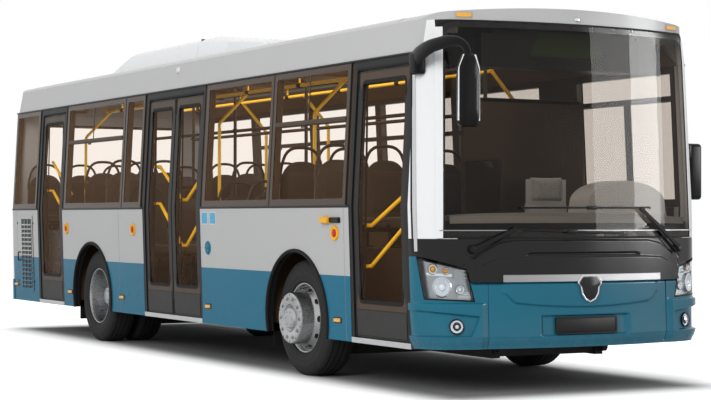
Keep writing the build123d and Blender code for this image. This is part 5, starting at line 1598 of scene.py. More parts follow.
class BUS_OT_wheels(bpy.types.Operator):
    """Tyres with ribs, shoulder lugs and sidewall rings, and steel wheels with openings drawn as dark patches of
    painted shade, nuts and hub ends
    """
    bl_idname = "bus.wheels"
    bl_label = "Wheels"

    def execute(self, context):
        single = [tyre(FRONT_AXLE_X, FRONT_TYRE_Y)]
        twins = [tyre(REAR_AXLE_X, TWIN_OUTER_Y), tyre(REAR_AXLE_X, TWIN_INNER_Y)]
        for end, treads, (steel, dark), tyre_node, rim_node in (
                ("front", single, front_rim(), "front_tyre_", "front_rim_"),
                ("rear", twins, rear_rim(), "rear_tyres_", "rear_rims_")):
            for label in ("left", "right"):
                for part, forms, look, slot, node, sharp in (
                        ("_tread_", treads, "tyre_rubber", "tyre", tyre_node, 35),
                        ("_disc_", steel, "wheel_steel", "wheel_metal", rim_node, 35),
                        # The openings piece: painted shade in the wheel's holes and slots, with the valve stem's own
                        # black.
                        ("_openings_", dark, "black_plastic", "dark_plastic", rim_node, 40)):
                    form = together(forms) if label == "left" else together(forms).mirrored()
                    piece(end + part + label, form, look, slot, end + "_wheel_" + label, node + label, sharp)
        return {"FINISHED"}


# ============================== inside ==============================

SEAT_HALF, SEAT_DEPTH, BACK_HEIGHT = 0.21, 0.41, 0.55
HOUSE_TOP_Z, PLATFORM_TOP_Z, PODIUM_TOP_Z = 1.025, 1.12, 0.52
REAR_BENCH, RIGHT_PAIR, LEFT_PAIR = (-0.88, -0.44, 0.0, 0.44, 0.88), (-0.92, -0.48), (0.48, 0.92)
LOW_SEAT, HOUSE_SEAT, BENCH_SEAT = (FLOOR_Z, 1.000), (HOUSE_TOP_Z, 1.270), (PLATFORM_TOP_Z, 1.290)

# Seats: back x, height of what carries them with the cushion's top, places across.
SEAT_ROWS = [
    (-4.640, BENCH_SEAT, REAR_BENCH), (-2.660, HOUSE_SEAT, RIGHT_PAIR), (-2.040, HOUSE_SEAT, RIGHT_PAIR),
    (-1.440, LOW_SEAT, RIGHT_PAIR), (0.700, LOW_SEAT, RIGHT_PAIR), (1.320, LOW_SEAT, RIGHT_PAIR),
    (1.960, HOUSE_SEAT, RIGHT_PAIR), (2.590, HOUSE_SEAT, RIGHT_PAIR), (-3.560, LOW_SEAT, LEFT_PAIR),
    (-2.660, HOUSE_SEAT, LEFT_PAIR), (-2.040, HOUSE_SEAT, LEFT_PAIR), (-1.440, LOW_SEAT, LEFT_PAIR),
    (1.320, LOW_SEAT, LEFT_PAIR), (1.960, HOUSE_SEAT, LEFT_PAIR), (2.590, HOUSE_SEAT, LEFT_PAIR)]
DRIVER_SEAT_X, DRIVER_Y, DRIVER_CUSHION_Z = 3.330, 0.600, 0.980


def pad(low, high, lift, k, channels=(0.27, 0.73), pull=0.05):
    """A stuffed pad between two corners, facing along axis k: a crowned face that falls to its edges as 1
    less the eighth power of the way out, sides pulled in between the corners, and sunk sewn channels."""
    low, high = np.asarray(low, float), np.asarray(high, float)
    i, j = [n for n in range(3) if n != k]
    middle, half = (low + high) / 2, (high - low) / 2
    line = (1 - np.cos(np.linspace(0, math.pi, 23))) / 2
    u, v = np.meshgrid(line, line[::2], indexing="ij")
    a, b = 2 * u - 1, 2 * v - 1
    fall = ((1 - a ** 8) * (1 - b ** 8)) ** 0.45
    sewn = sum(np.exp(-((u - c) / 0.018) ** 2) for c in channels) * 0.005 * fall
    face = np.zeros(u.shape + (3,))
    face[..., i] = middle[i] + half[i] * a * (1 - pull * (1 - b ** 2) * a ** 2)
    face[..., j] = middle[j] + half[j] * b * (1 - pull * (1 - a ** 2) * b ** 2)
    base = face.copy()
    face[..., k] = middle[k] + half[k] * (2 * fall - 1) + lift * (1 - a ** 2) * (1 - b ** 2) - sewn
    base[..., k] = low[k]
    return between(base, face)


def seat_parts(back_x, y, base_z, top_z):
    """Pads, shell, grab arch and frame of one passenger seat."""
    half, x1, back_top = SEAT_HALF, back_x + SEAT_DEPTH, top_z + BACK_HEIGHT
    pads = [pad((back_x + 0.006, y - half + 0.012, top_z - 0.045),
                (x1 - 0.010, y + half - 0.012, top_z - 0.004),
                0.010, 2, (0.5,)),
            pad((back_x - 0.028, y - 0.150, top_z + 0.035), (back_x - 0.002, y + 0.150, top_z + 0.385),
                0.008, 0, (0.26, 0.74))]
    turn = np.linspace(0, math.pi, 25)

    def back_outline(inset):
        """Straight sides under a top that is rounder than an ellipse: powers of the cosine and sine."""
        top = np.column_stack([(half - inset) * np.sign(np.cos(turn)) * np.abs(np.cos(turn)) ** 0.75,
                               top_z + 0.20 + (BACK_HEIGHT - 0.285 - inset) * np.abs(np.sin(turn)) ** 0.9])
        foot = np.array([(-half + inset, top_z - 0.088 + inset), (half - inset, top_z - 0.088 + inset)])
        return np.vstack([top, foot]) + [y, 0]

    steps = ((0.030, -0.060), (0.008, -0.054), (0.0, -0.040), (0.0, -0.026), (0.006, -0.020), (0.020, -0.019))
    shell = [lofted(flat_at(x=back_x), [(back_outline(inset), out) for inset, out in steps]),
             rounded_block((back_x - 0.050, y - half, top_z - 0.090),
                           (x1, y + half, top_z - 0.038), 0.022, 3)]
    rise = [(0.180, top_z + 0.20), (0.206, back_top - 0.19), (0.140, back_top + 0.030)]
    arch = [(back_x - 0.042, y - across, z) for across, z in rise]
    arch += [(back_x - 0.042, y + across, z) for across, z in rise[::-1]]
    frame_parts = []
    if top_z - 0.09 > base_z + 0.02:
        middle = back_x + SEAT_DEPTH / 2
        frame_parts = [tube([(x, y, base_z + 0.004), (x, y, top_z - 0.095)], 0.020, 0, 10, (0, 1, 0))
                       for x in (middle - 0.105, middle + 0.080)]
        frame_parts += [rounded_block((middle - 0.13, y - 0.055, base_z),
                                      (middle + 0.11, y + 0.055, base_z + 0.014), 0.006, 2),
                        rounded_block((back_x + 0.02, y - 0.15, top_z - 0.115),
                                      (x1 - 0.04, y + 0.15, top_z - 0.088), 0.010, 2)]
    return pads, shell, [tube(arch, 0.0135, 0.15, 8, (1, 0, 0))], frame_parts


class BUS_OT_seats(bpy.types.Operator):
    """Passenger seats with shells, stuffed pads, arched grab tubes and pedestals, and the driver's seat"""
    bl_idname = "bus.seats"
    bl_label = "Seats"

    def execute(self, context):
        seats = [seat_parts(back_x, y, *heights) for back_x, heights, places in SEAT_ROWS for y in places]
        pads, shells, arches, pedestals = [[form for forms in group for form in forms]
                                           for group in zip(*seats)]
        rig.padded(piece("seat_pads", pads, "seat_cloth", "seat_fabric", stands_for="seats"), fill=0.7)
        piece("seat_mouldings", shells, "moulding_brown", "grey_plastic", stands_for="seats")
        piece("seat_grab_arches", arches, "moulding_brown", "dark_plastic", stands_for="seats")
        piece("seat_pedestals", pedestals, "charcoal", "chassis_steel", stands_for="seats")

        x, y, top = DRIVER_SEAT_X, DRIVER_Y, DRIVER_CUSHION_Z
        pads = [pad((x, y - 0.205, top - 0.085), (x + 0.405, y + 0.205, top - 0.002), 0.010, 2),
                pad((x - 0.058, y - 0.205, top + 0.01), (x - 0.001, y + 0.205, top + 0.40), 0.008, 0),
                pad((x - 0.056, y - 0.150, top + 0.425),
                    (x - 0.004, y + 0.150, top + 0.615), 0.006, 0, (0.5,))]
        padding = piece("driver_seat_pads", pads, "driver_cloth", "seat_fabric", stands_for="seats")
        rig.padded(padding, fill=0.75)
        base = [rounded_block((x - 0.062, y - 0.195, top - 0.01),
                              (x - 0.040, y + 0.195, top + 0.60), 0.010, 3),
                rounded_block((x - 0.01, y - 0.19, top - 0.135), (x + 0.39, y + 0.19, top - 0.084), 0.02, 3)]
        for k in range(6):
            z, fold = PODIUM_TOP_Z + 0.030 + k * 0.050, 0.008 * (k % 2)
            base.append(rounded_block((x + 0.055 - fold, y - 0.155, z),
                                      (x + 0.325 + fold, y + 0.155, z + 0.044), 0.018))
        base.append(rounded_block((x + 0.03, y - 0.18, PODIUM_TOP_Z),
                                  (x + 0.36, y + 0.18, PODIUM_TOP_Z + 0.032), 0.01, 2))
        for rest_y, post_y in ((y - 0.235, y - 0.20), (y + 0.235, y + 0.20)):
            base += [rounded_block((x + 0.02, rest_y - 0.025, top + 0.19),
                                   (x + 0.30, rest_y + 0.025, top + 0.235), 0.02),
                     tube([(x - 0.045, post_y, top + 0.20), (x - 0.030, rest_y, top + 0.21),
                           (x + 0.05, rest_y, top + 0.212)], 0.012, 0.02)]
        piece("driver_seat_base", base, "binnacle_grey", "dark_plastic", stands_for="seats")
        return {"FINISHED"}


# What the wall linings start from: rear edge, front edge, height.
LINING_FOOT = [(-4.755, -3.935, PLATFORM_TOP_Z), (-3.935, -2.81, FLOOR_Z), (-2.81, -1.61, HOUSE_TOP_Z),
               (-1.61, 1.82, FLOOR_Z), (1.82, 3.02, HOUSE_TOP_Z), (3.03, 4.18, PODIUM_TOP_Z)]
CEILING_Z, LINING_DEPTH = 2.598, 0.060


class BUS_OT_linings(bpy.types.Operator):
    """Wall and ceiling linings, ceiling light strips and ventilation slots"""
    bl_idname = "bus.linings"
    bl_label = "Linings"

    def execute(self, context):
        walls, lights, trays, vents = [], [], [], []
        for side in (RIGHT, LEFT):
            for x0, x1 in closed_spans(side):
                x0, x1 = x0 + 0.005, min(x1, 4.18) - 0.005
                for foot_x0, foot_x1, z in LINING_FOOT:
                    low, high = max(foot_x0, x0), min(foot_x1, x1)
                    if high - low > 0.02:
                        walls.append(strip(side, low, high, z + 0.004, 1.350, -0.008, -0.001, LINING_DEPTH))
                walls.append(strip(side, x0, x1, 1.352, 1.412, -0.010, -0.001, LINING_DEPTH))

        def ceiling(u, v, out):
            """Across the ceiling: level in the middle, sloping down to the eaves at each side."""
            y = -1.13 + 2.26 * v
            z = np.interp(np.abs(y), [0, 0.995, 1.13], [CEILING_Z, CEILING_Z, 2.455]) - 0.003 - out
            return np.stack([-4.72 + 9.00 * u, y, z], axis=-1)

        for y in (-0.62, 0.62):
            for x in -4.30 + np.arange(6) * 1.38:
                lights.append(rounded_block((x, y - 0.055, 2.568), (x + 1.20, y + 0.055, 2.5905), 0.012, 3))
                trays.append(rounded_block((x - 0.02, y - 0.075, 2.580),
                                           (x + 1.22, y + 0.075, 2.5915), 0.005, 1))
        for x in -3.6 + np.arange(5) * 1.45:
            vents.append(rounded_block((x, -0.16, 2.560), (x + 0.62, 0.16, 2.5905), 0.02, 3))
            vents += [rounded_block((rib, -0.13, 2.555), (rib + 0.025, 0.13, 2.563), 0.003, 1)
                      for rib in x + 0.05 + np.arange(9) * 0.06]
        piece("wall_lining", walls, "lining_brown", "grey_plastic")
        piece("ceiling_lining", slab(ceiling, 3, 13, 0.0, 0.006), "ceiling_brown", "grey_plastic", sharp=20)
        piece("ceiling_lights", lights, "lining_grey", "lamp_glass")
        piece("ceiling_light_trays", trays, "charcoal", "grey_plastic")
        piece("ceiling_vents", vents, "ceiling_brown", "grey_plastic")
        return {"FINISHED"}


# Kinked posts: x, y of the upright, y at the top, height of what carries it.
KINKED_POSTS = [(-0.446, -0.60, -0.30, FLOOR_Z), (1.533, -0.60, -0.30, FLOOR_Z),
                (-4.10, -0.60, -0.30, PLATFORM_TOP_Z),
                (-1.900, 0.60, 0.33, FLOOR_Z), (-0.490, 0.60, 0.33, FLOOR_Z), (2.90, 0.60, 0.33, FLOOR_Z)]
STRAIGHT_POSTS_X, STRAIGHT_POSTS_Y = (-2.960, -0.900, 0.640, 1.700, 2.960), (-0.225, 0.225)
HIGH_RAIL_Z = 2.470


class BUS_OT_rails(bpy.types.Operator):
    """Kinked posts up to two high rails, their joints and flanges"""
    bl_idname = "bus.rails"
    bl_label = "Rails"

    def execute(self, context):
        radius = sizes().rail_radius
        rails, joints = [], []

        def flange(x, y, z, profile, sides):
            """A round foot, from (height, radius) points counted from what carries it."""
            joints.append(turned([(z + rise, r) for rise, r in profile], (x, y, 0), sides, "z", True))

        for x, y, top_y, base_z in KINKED_POSTS:
            rails.append(tube([(x, y, base_z), (x, y, 2.17), (x, top_y, 2.465)], radius, 0.03, 12, (1, 0, 0)))
            flange(x, y, base_z, [(0, 0.034), (0.006, 0.032), (0.022, 0.019), (0.024, 0.001), (0, 0.001)], 20)
        for y, x0, x1 in ((-0.30, -4.30, 2.95), (0.33, -3.60, 2.95)):
            run = [(x0, y, 2.585), (x0 + 0.05, y, HIGH_RAIL_Z), (x1 - 0.05, y, HIGH_RAIL_Z), (x1, y, 2.585)]
            rails.append(tube(run, radius, 0.06, 12, (0, 1, 0)))
            for x in np.arange(x0 + 0.55, x1 - 0.3, 1.10):
                rails.append(tube([(x, y, HIGH_RAIL_Z), (x, y, 2.588)], 0.011, 0, 8, (1, 0, 0)))
                sleeve = [(-0.035, 0.0205), (-0.030, 0.0225), (0.030, 0.0225), (0.035, 0.0205)]
                joints.append(turned(sleeve, (x, y, HIGH_RAIL_Z), 16, "x"))
        foot = [(0, 0.031), (0.006, 0.030), (0.024, 0.019), (0.026, 0.017), (0, 0.017)]
        for x in STRAIGHT_POSTS_X:
            for y in STRAIGHT_POSTS_Y:
                flange(x, y, FLOOR_Z, foot, 16)
                flange(x, y, 2.12, foot, 16)
        piece("kinked_posts", rails, "rail_yellow", "yellow_paint")
        piece("rail_joints", joints, "charcoal", "dark_plastic")
        return {"FINISHED"}


CAB_FACE_X, DIAL_Z = 4.112, 1.385
HOOD_HALF, HOOD_LOW_Z, HOOD_SPRING_Z, HOOD_RISE = 0.400, 1.243, 1.392, 0.160
DOOR_SWEEP_X = 4.262                               # the open front door's leaf stays ahead of this


class BUS_OT_cab(bpy.types.Operator):
    """The driver's place: instrument hood, dials, switches, shelf, cab glass and door"""
    bl_idname = "bus.cab"
    bl_label = "Driver's place"

    def execute(self, context):
        y, top_half = DRIVER_Y, HOOD_HALF - 0.030
        arc = np.linspace(0.15, math.pi - 0.15, 15)
        outline = np.vstack([[(-HOOD_HALF, HOOD_LOW_Z), (HOOD_HALF, HOOD_LOW_Z), (top_half, HOOD_SPRING_Z)],
                             np.column_stack([top_half * np.cos(arc),
                                              HOOD_SPRING_Z + HOOD_RISE * np.sin(arc)]),
                             [(-top_half, HOOD_SPRING_Z)]]) + [y, 0]
        centre = np.array([y, 1.36])
        steps = ((0.93, -0.006), (1.0, 0.012), (1.0, 0.210), (0.96, 0.236))
        hood = lofted(flat_at(x=4.118), [(centre + (outline - centre) * scale, out) for scale, out in steps])
        piece("instrument_hood", hood, "binnacle_grey", "grey_plastic", sharp=50)

        def shelf(u, v, out):
            """A shelf that follows the windscreen, from just behind the glass inwards, lifting towards the
            middle. Its inner edge stays clear of the open front door."""
            s = -1.06 + 2.16 * u
            glass, inner = on_front(s, 1.280, -0.035), on_front(s, 1.280, -0.285)
            door_side = np.minimum(np.maximum(inner[..., 0], DOOR_SWEEP_X), glass[..., 0] - 0.02)
            inner[..., 0] = np.where(inner[..., 1] < -0.30, door_side, inner[..., 0])
            point = glass * (1 - v[..., None]) + inner * v[..., None]
            crown = 0.035 * np.sqrt(np.clip(1 - (s / 1.12) ** 2, 0, 1))
            point[..., 2] = 1.275 + crown * np.sin(math.pi * np.clip(v, 0.12, 1) * 0.6) + out
            return point

        piece("dash_top", slab(shelf, 40, 9, -0.05, 0.0), "lining_grey", "grey_plastic")
        face = flat_at(x=CAB_FACE_X)
        rings, faces, marks = [], [], []
        for dy, radius in ((-0.11, 0.062), (0.11, 0.062), (0.0, 0.036), (-0.215, 0.030), (0.215, 0.030)):
            a = y + dy
            outer, inner = disc_outline(a, DIAL_Z, radius), disc_outline(a, DIAL_Z, radius * 0.88)
            hand = [(a - 0.003, DIAL_Z), (a + 0.003, DIAL_Z), (a + radius * 0.3, DIAL_Z + radius * 0.7)]
            rings.append(frame_plate(face, outer, inner, -0.010, 0.0))
            faces.append(lofted(face, [(inner, -0.004), (inner, -0.002)]))
            marks.append(lofted(face, [(hand, -0.0055), (hand, -0.0045)]))
        marks += [rounded_block((4.094, a, 1.16), (4.102, a + 0.032, 1.20), 0.003, 1)
                  for a in -0.06 + np.arange(12) * 0.042]
        piece("dial_rings", rings, "chrome", "wheel_metal")
        piece("dial_faces", faces, "gloss_black", "black_gloss")
        piece("dash_switches", marks, "sign_white", "grey_plastic")
        grip = [(3.07, -0.037, 1.22), (3.07, -0.037, 1.72), (3.60, -0.037, 1.72), (3.60, -0.037, 1.22)]
        frames = [rounded_block((3.036, -0.052, 1.16), (3.060, 1.10, 1.20), 0.008, 2),
                  rounded_block((3.036, -0.052, 2.20), (3.060, 1.10, 2.24), 0.008, 2),
                  rounded_block((3.06, -0.052, 0.56), (3.62, -0.022, 1.22), 0.012, 3),
                  tube(grip, 0.012, 0.05, 8, (0, 1, 0))]
        piece("cab_frames", frames, "moulding_brown", "dark_plastic")
        glass = rounded_block((3.075, -0.040, 1.22), (3.590, -0.034, 1.71), 0.002, 1)
        piece("cab_glass", glass, "pane_clear", "clear_glass")
        return {"FINISHED"}


# ============================== roof and rear ==============================

UNIT_REAR_X, UNIT_FRONT_X, UNIT_SEAM_X, UNIT_HALF = -2.60, 1.12, -0.33, 0.90
FAN_Z = 2.962
ROOF_HALF, ROOF_RISE, ROOF_CROWN_Z = 1.06, 0.05, 2.785
TAIL_LAMP = (0.983, 1.097, 0.702, 1.328)            # inner and outer edges across the bus, foot and top
TAIL_LAMP_PITCH = 0.124
REAR_WINDOW = (-0.860, 0.860, 1.500, 2.340)


def on_roof(x, y, out=0.0):
    """Points on the roof skin: across the body an arc through its two edges and its crown."""
    x, y, out = arrays(x, y, out)
    radius = (ROOF_HALF ** 2 + ROOF_RISE ** 2) / (2 * ROOF_RISE)
    fall = radius - np.sqrt(radius ** 2 - np.minimum(np.abs(y), ROOF_HALF) ** 2)
    return np.stack([x, y, ROOF_CROWN_Z - fall + out], axis=-1)


def unit_top(x):
    """Height of the roof unit's casing along its length."""
    return np.interp(x, [UNIT_REAR_X, UNIT_REAR_X + 0.06, UNIT_REAR_X + 0.52, UNIT_REAR_X + 0.60,
                         UNIT_SEAM_X + 0.26, UNIT_FRONT_X - 1.20, UNIT_FRONT_X - 0.06, UNIT_FRONT_X],
                     [2.74, 2.805, 2.950, 2.957, 2.960, 2.957, 2.83, 2.80])


class BUS_OT_roof(bpy.types.Operator):
    """Roof unit casing with rounded flanks, fans and seams; roof ribs, hatches and aerial"""
    bl_idname = "bus.roof"
    bl_label = "Roof"

    def execute(self, context):
        def casing(x0, x1):
            """One cover: the side view's height, rolled down at the flanks by a high power of the way out,
            with three shallow grooves along it."""
            def surface(u, v, out):
                x, b = x0 + (x1 - x0) * u, 2 * v - 1
                y = b * (UNIT_HALF - 0.002)
                base = on_roof(x, y, -0.012)[..., 2]
                top = np.maximum(unit_top(x), base + 0.02)
                roll = (1 - np.abs(b) ** 20) ** 0.38
                grooves = sum(0.0035 * ease((0.012 - np.abs(np.abs(y) - place)) / 0.008)
                              for place in (0.42, 0.0))
                return np.stack([x, y, np.where(out > 0, base + (top - base - grooves) * roll, base)],
                                axis=-1)
            return slab(surface, 70, 57, 0.0, 1.0)

        covers = [casing(UNIT_REAR_X, UNIT_SEAM_X - 0.003), casing(UNIT_SEAM_X + 0.003, UNIT_FRONT_X)]
        piece("roof_casing", covers, "gloss_white", "white_paint", stands_for="roof_unit", sharp=42)
        openings, guards = [], []
        for x, y in ((-1.45, -0.38), (-1.45, 0.38), (-0.78, -0.38), (-0.78, 0.38)):
            well = [(-0.02, 0.235), (0.003, 0.235), (0.003, 0.0005), (-0.02, 0.0005)]
            openings.append(turned(well, (x, y, FAN_Z), 40, "z", True))
            for r in (0.06, 0.11, 0.16, 0.21):
                ring = [(-0.002, r), (0.0055, r), (0.0055, r + 0.005), (-0.002, r + 0.005)]
                guards.append(turned(ring, (x, y, FAN_Z), 40, "z", True))
            for a in np.arange(4) * math.pi / 4:
                reach = np.array([0.22 * math.cos(a), 0.22 * math.sin(a), 0.0])
                middle = np.array([x, y, FAN_Z + 0.0008])
                guards.append(tube([middle - reach, middle + reach], 0.0035, 0, 6))
        seam = (UNIT_SEAM_X - 0.004, -0.84, 2.80), (UNIT_SEAM_X + 0.004, 0.84, 2.953)
        openings.append(rounded_block(*seam, 0.002, 1))
        piece("roof_unit_openings", openings, "black_plastic", "dark_plastic")
        piece("roof_fan_guards", guards, "charcoal", "dark_plastic")

        ribs, hatches = [], []
        for x in (1.75, -3.30):
            lid = [(0, 0.07, -0.006), (0, 0.07, 0.022), (0.04, 0.06, 0.042)]
            hatches.append(raised(on_roof, box_at(x, 0.0, 0.36, 0.36), lid))
            hatches += [raised(on_roof, box_at(x, y, 0.26, 0.016),
                               [(0, 0.012, 0.038), ((0.010, 0.008), 0.006, 0.050)])
                        for y in -0.24 + np.arange(5) * 0.12]
        for x in (-4.55, -3.95, 2.45, 3.05, 3.65):
            ribs.append(patch(on_roof, (x, x + 0.016, -1.0, 1.0), -0.002, 0.004, 2, 21))
        for y in (-0.62, 0.62):
            for x0, x1 in ((-4.70, -2.65), (1.17, 4.15)):
                ribs.append(patch(on_roof, (x0, x1, y - 0.015, y + 0.015), -0.002, 0.006))
        piece("roof_hatches", hatches, "gloss_white", "white_paint", bevel=0.002)
        piece("roof_ribs", ribs, "body_grey", "grey_paint", bevel=0.001)
        aerial = [(0.0, 0.045), (0.012, 0.045), (0.025, 0.030), (0.07, 0.014), (0.11, 0.006), (0.14, 0.005),
                  (0.142, 0.0005), (0.0, 0.0005)]
        piece("roof_aerial", turned(aerial, (3.35, 0.45, 2.778), 20, "z", True), "black_plastic",
              "dark_plastic")
        return {"FINISHED"}


class BUS_OT_rear(bpy.types.Operator):
    """Tail lamps, rear window rubber, hatch details, locks, blank plate, high lamps and bumper marks"""
    bl_idname = "bus.rear"
    bl_label = "Rear"

    def execute(self, context):
        # Near the middle of the flat bow, y serves as the way round the rear skin.
        def on_both(box):
            """A box across the bus and its mirror image."""
            return [(-box[1], -box[0], *box[2:]), box]

        housings, rings = [], []
        lenses = {"red_lens": [], "amber_lens": [], "lens_white": []}
        for box in on_both(TAIL_LAMP):
            housings.append(raised(on_rear, box, [(0, 0.02, -0.045), (0, 0.02, 0.001)], 3))
            middle = (box[0] + box[1]) / 2
            for k, look in enumerate(("lens_white", "red_lens", "amber_lens", "red_lens", "red_lens")):
                z = TAIL_LAMP[2] + 0.065 + k * TAIL_LAMP_PITCH
                dome = [(-0.002, 0.050), (0.002, 0.050), (0.005, 0.046), (0.0065, 0.030), (0.007, 0.002)]
                lenses[look].append(boss(on_rear, middle, z, dome))
                rings.append(boss(on_rear, middle, z,
                                  [(0.0, 0.055), (0.003, 0.054), (0.004, 0.050), (0.001, 0.049)]))
        piece("tail_lamp_housings", housings, "black_plastic", "dark_plastic", stands_for="lamps")
        piece("tail_lamp_rings", rings, "charcoal", "dark_plastic", stands_for="lamps")
        for look, forms in lenses.items():
            piece("tail_" + look + "es", forms, look, "lamp_glass", stands_for="lamps")

        rubber_ring = rounded_frame(on_rear, REAR_WINDOW, (-0.035, 0.10), (-0.022, 0.09), -0.002, 0.006, 5)
        border = rounded_frame(on_rear, REAR_WINDOW, (-0.022, 0.09), (0.03, 0.08), 0.0004, 0.0016, 5)
        piece("rear_window_rubber", rubber_ring, "rubber", "dark_frame")
        piece("rear_window_border", border, "gloss_black", "dark_frame")
        seams = [rounded_frame(on_rear, (-0.80, 0.80, 0.600, 1.412), (0, 0.03), (0.016, 0.02),
                               -0.001, 0.003, 5)]
        seams += [patch(on_rear, (-1.22, 1.22, z, z + 0.006), -0.001, 0.002, 60, 2) for z in (1.43, 2.43)]
        piece("rear_seams", seams, "rubber", "dark_frame")

        louvres, locks = [], []
        for box in on_both((0.30, 0.70, 1.05, 1.34)):
            y0, y1 = box[0] + 0.02, box[1] - 0.02
            louvres.append(rounded_frame(on_rear, box, (0, 0.02), (0.018, 0.012), -0.001, 0.006, 3))
            for z in 1.080 + np.arange(8) * 0.030:
                back, lip = [[(y0, z + top), (y1, z + top), (y1, z + foot), (y0, z + foot)]
                             for top, foot in ((0.020, 0.014), (0.008, 0.002))]
                louvres.append(lofted(on_rear, [(back, -0.001), (lip, 0.007)]))
        for side in (-1, 1):
            lock = [(0.0, 0.030), (0.004, 0.028), (0.0065, 0.020), (0.0070, 0.002)]
            catch = box_at(side * 0.2, 0.945, 0.03, 0.01)
            locks += [boss(on_rear, side * 0.68, 0.70, lock, 24),
                      raised(on_rear, catch, [(0, 0.006, 0.0), (0.002, 0.006, 0.0070)], 3)]
        plate = raised(on_rear, (-0.27, 0.27, 0.80, 0.92), [(0, 0.012, 0.0), (0, 0.012, 0.005)], 3)
        crease = raised(on_rear, (-0.72, 0.72, 0.98, 1.00), [(0, 0.008, -0.001), (0.005, 0.004, 0.006)], 5)
        hinges = [rounded_block((-4.922, y - 0.06, 1.386), (-4.892, y + 0.06, 1.412), 0.008, 2)
                  for y in (-0.55, 0.55)]
        piece("hatch_louvres", louvres, "charcoal", "dark_plastic", "engine_hatch")
        piece("rear_plate", plate, "black_plastic", "dark_plastic", "engine_hatch", bevel=0.001)
        piece("hatch_locks", locks, "black_plastic", "dark_plastic", "engine_hatch")
        piece("hatch_crease", crease, "body_grey", "grey_paint", "engine_hatch")
        piece("hatch_hinges", hinges, "black_plastic", "dark_plastic")

        high_lamps = [raised(on_rear, (-0.26, 0.26, 2.515, 2.555),
                             [(0, 0.012, -0.002), ((0.010, 0.007), 0.010, 0.014)], 3)]
        high_lamps += [raised(on_rear, box_at(y, 2.616, 0.045, 0.016),
                              [(0, 0.008, -0.002), ((0.005, 0.004), 0.008, 0.012)], 3)
                       for y in (-0.95, 0.95)]
        marks = [patch(on_rear, (-1.22, 1.22, 0.470, 0.476), 0.0065, 0.0076, 80, 2)]
        marks += [raised(on_rear, box_at(y, 0.415, 0.06, 0.02),
                         [(0, 0.010, 0.006), (0.004, 0.008, 0.0077)], 3) for y in (-0.86, 0.86)]
        piece("rear_high_lamps", high_lamps, "red_lens", "lamp_glass")
        piece("rear_bumper_marks", marks, "red_lens", "lamp_glass")
        return {"FINISHED"}


# Air tanks: x of the middle, y, length, radius. Pipes: y.
AIR_TANKS = [(0.9, 0.15, 0.9, 0.035), (-0.9, -0.12, 0.7, 0.035), (-0.2, 0.20, 0.5, 0.030)]
AIR_PIPES = (-0.33, -0.30, 0.30, 0.34)


class BUS_OT_underside(bpy.types.Operator):
    """Air springs, air tanks, pipes and mud flaps under the floor"""
    bl_idname = "bus.underside"
    bl_label = "Underside"

    def execute(self, context):
        share = np.linspace(0.05, 0.95, 19)
        folds = np.column_stack([0.246 + 0.082 * share, 0.098 + 0.013 * np.abs(np.sin(3 * math.pi * share))])
        bellows = np.vstack([[(0.246, 0.0005), (0.246, 0.098)], folds, [(0.328, 0.098), (0.328, 0.0005)]])
        springs, flaps, tanks = [], [], []
        for axle in (FRONT_AXLE_X, REAR_AXLE_X):
            flap_x = axle - 0.585
            for side in (-1, 1):
                y0, y1 = sorted((side * 0.62, side * 1.14))
                springs.append(turned(bellows, (axle, side * 0.380, 0), 32, "z", True))
                flaps.append(rounded_block((flap_x, y0, 0.20), (flap_x + 0.010, y1, 0.40), 0.004, 1))
        for x, y, length, radius in AIR_TANKS:
            end = [(0.0, 0.0005), (0.0, radius * 0.6), (0.02, radius * 0.92), (0.04, radius)]
            shell = [(along - length / 2, r) for along, r in end] + [(length / 2 - along, r) for along,
                                                                     r in end[::-1]]
            tanks.append(turned(shell, (x, y, 0.286), 24, "x"))
            for dx in (-0.3 * length, 0.3 * length):
                strap = [(-0.012, radius), (-0.012, radius + 0.004), (0.012, radius + 0.004), (0.012, radius)]
                tanks.append(turned(strap, (x + dx, y, 0.286), 24, "x", True))
        tanks += [tube([(-2.6, y, 0.318), (2.0, y, 0.318)], 0.006, 0, 8) for y in AIR_PIPES]
        piece("air_springs", springs, "rubber", "tyre", sharp=60)
        piece("air_tanks_and_pipes", tanks, "matt_chassis", "chassis_steel")
        piece("mud_flaps", flaps, "rubber", "tyre")
        return {"FINISHED"}

# ============================== studio ==============================

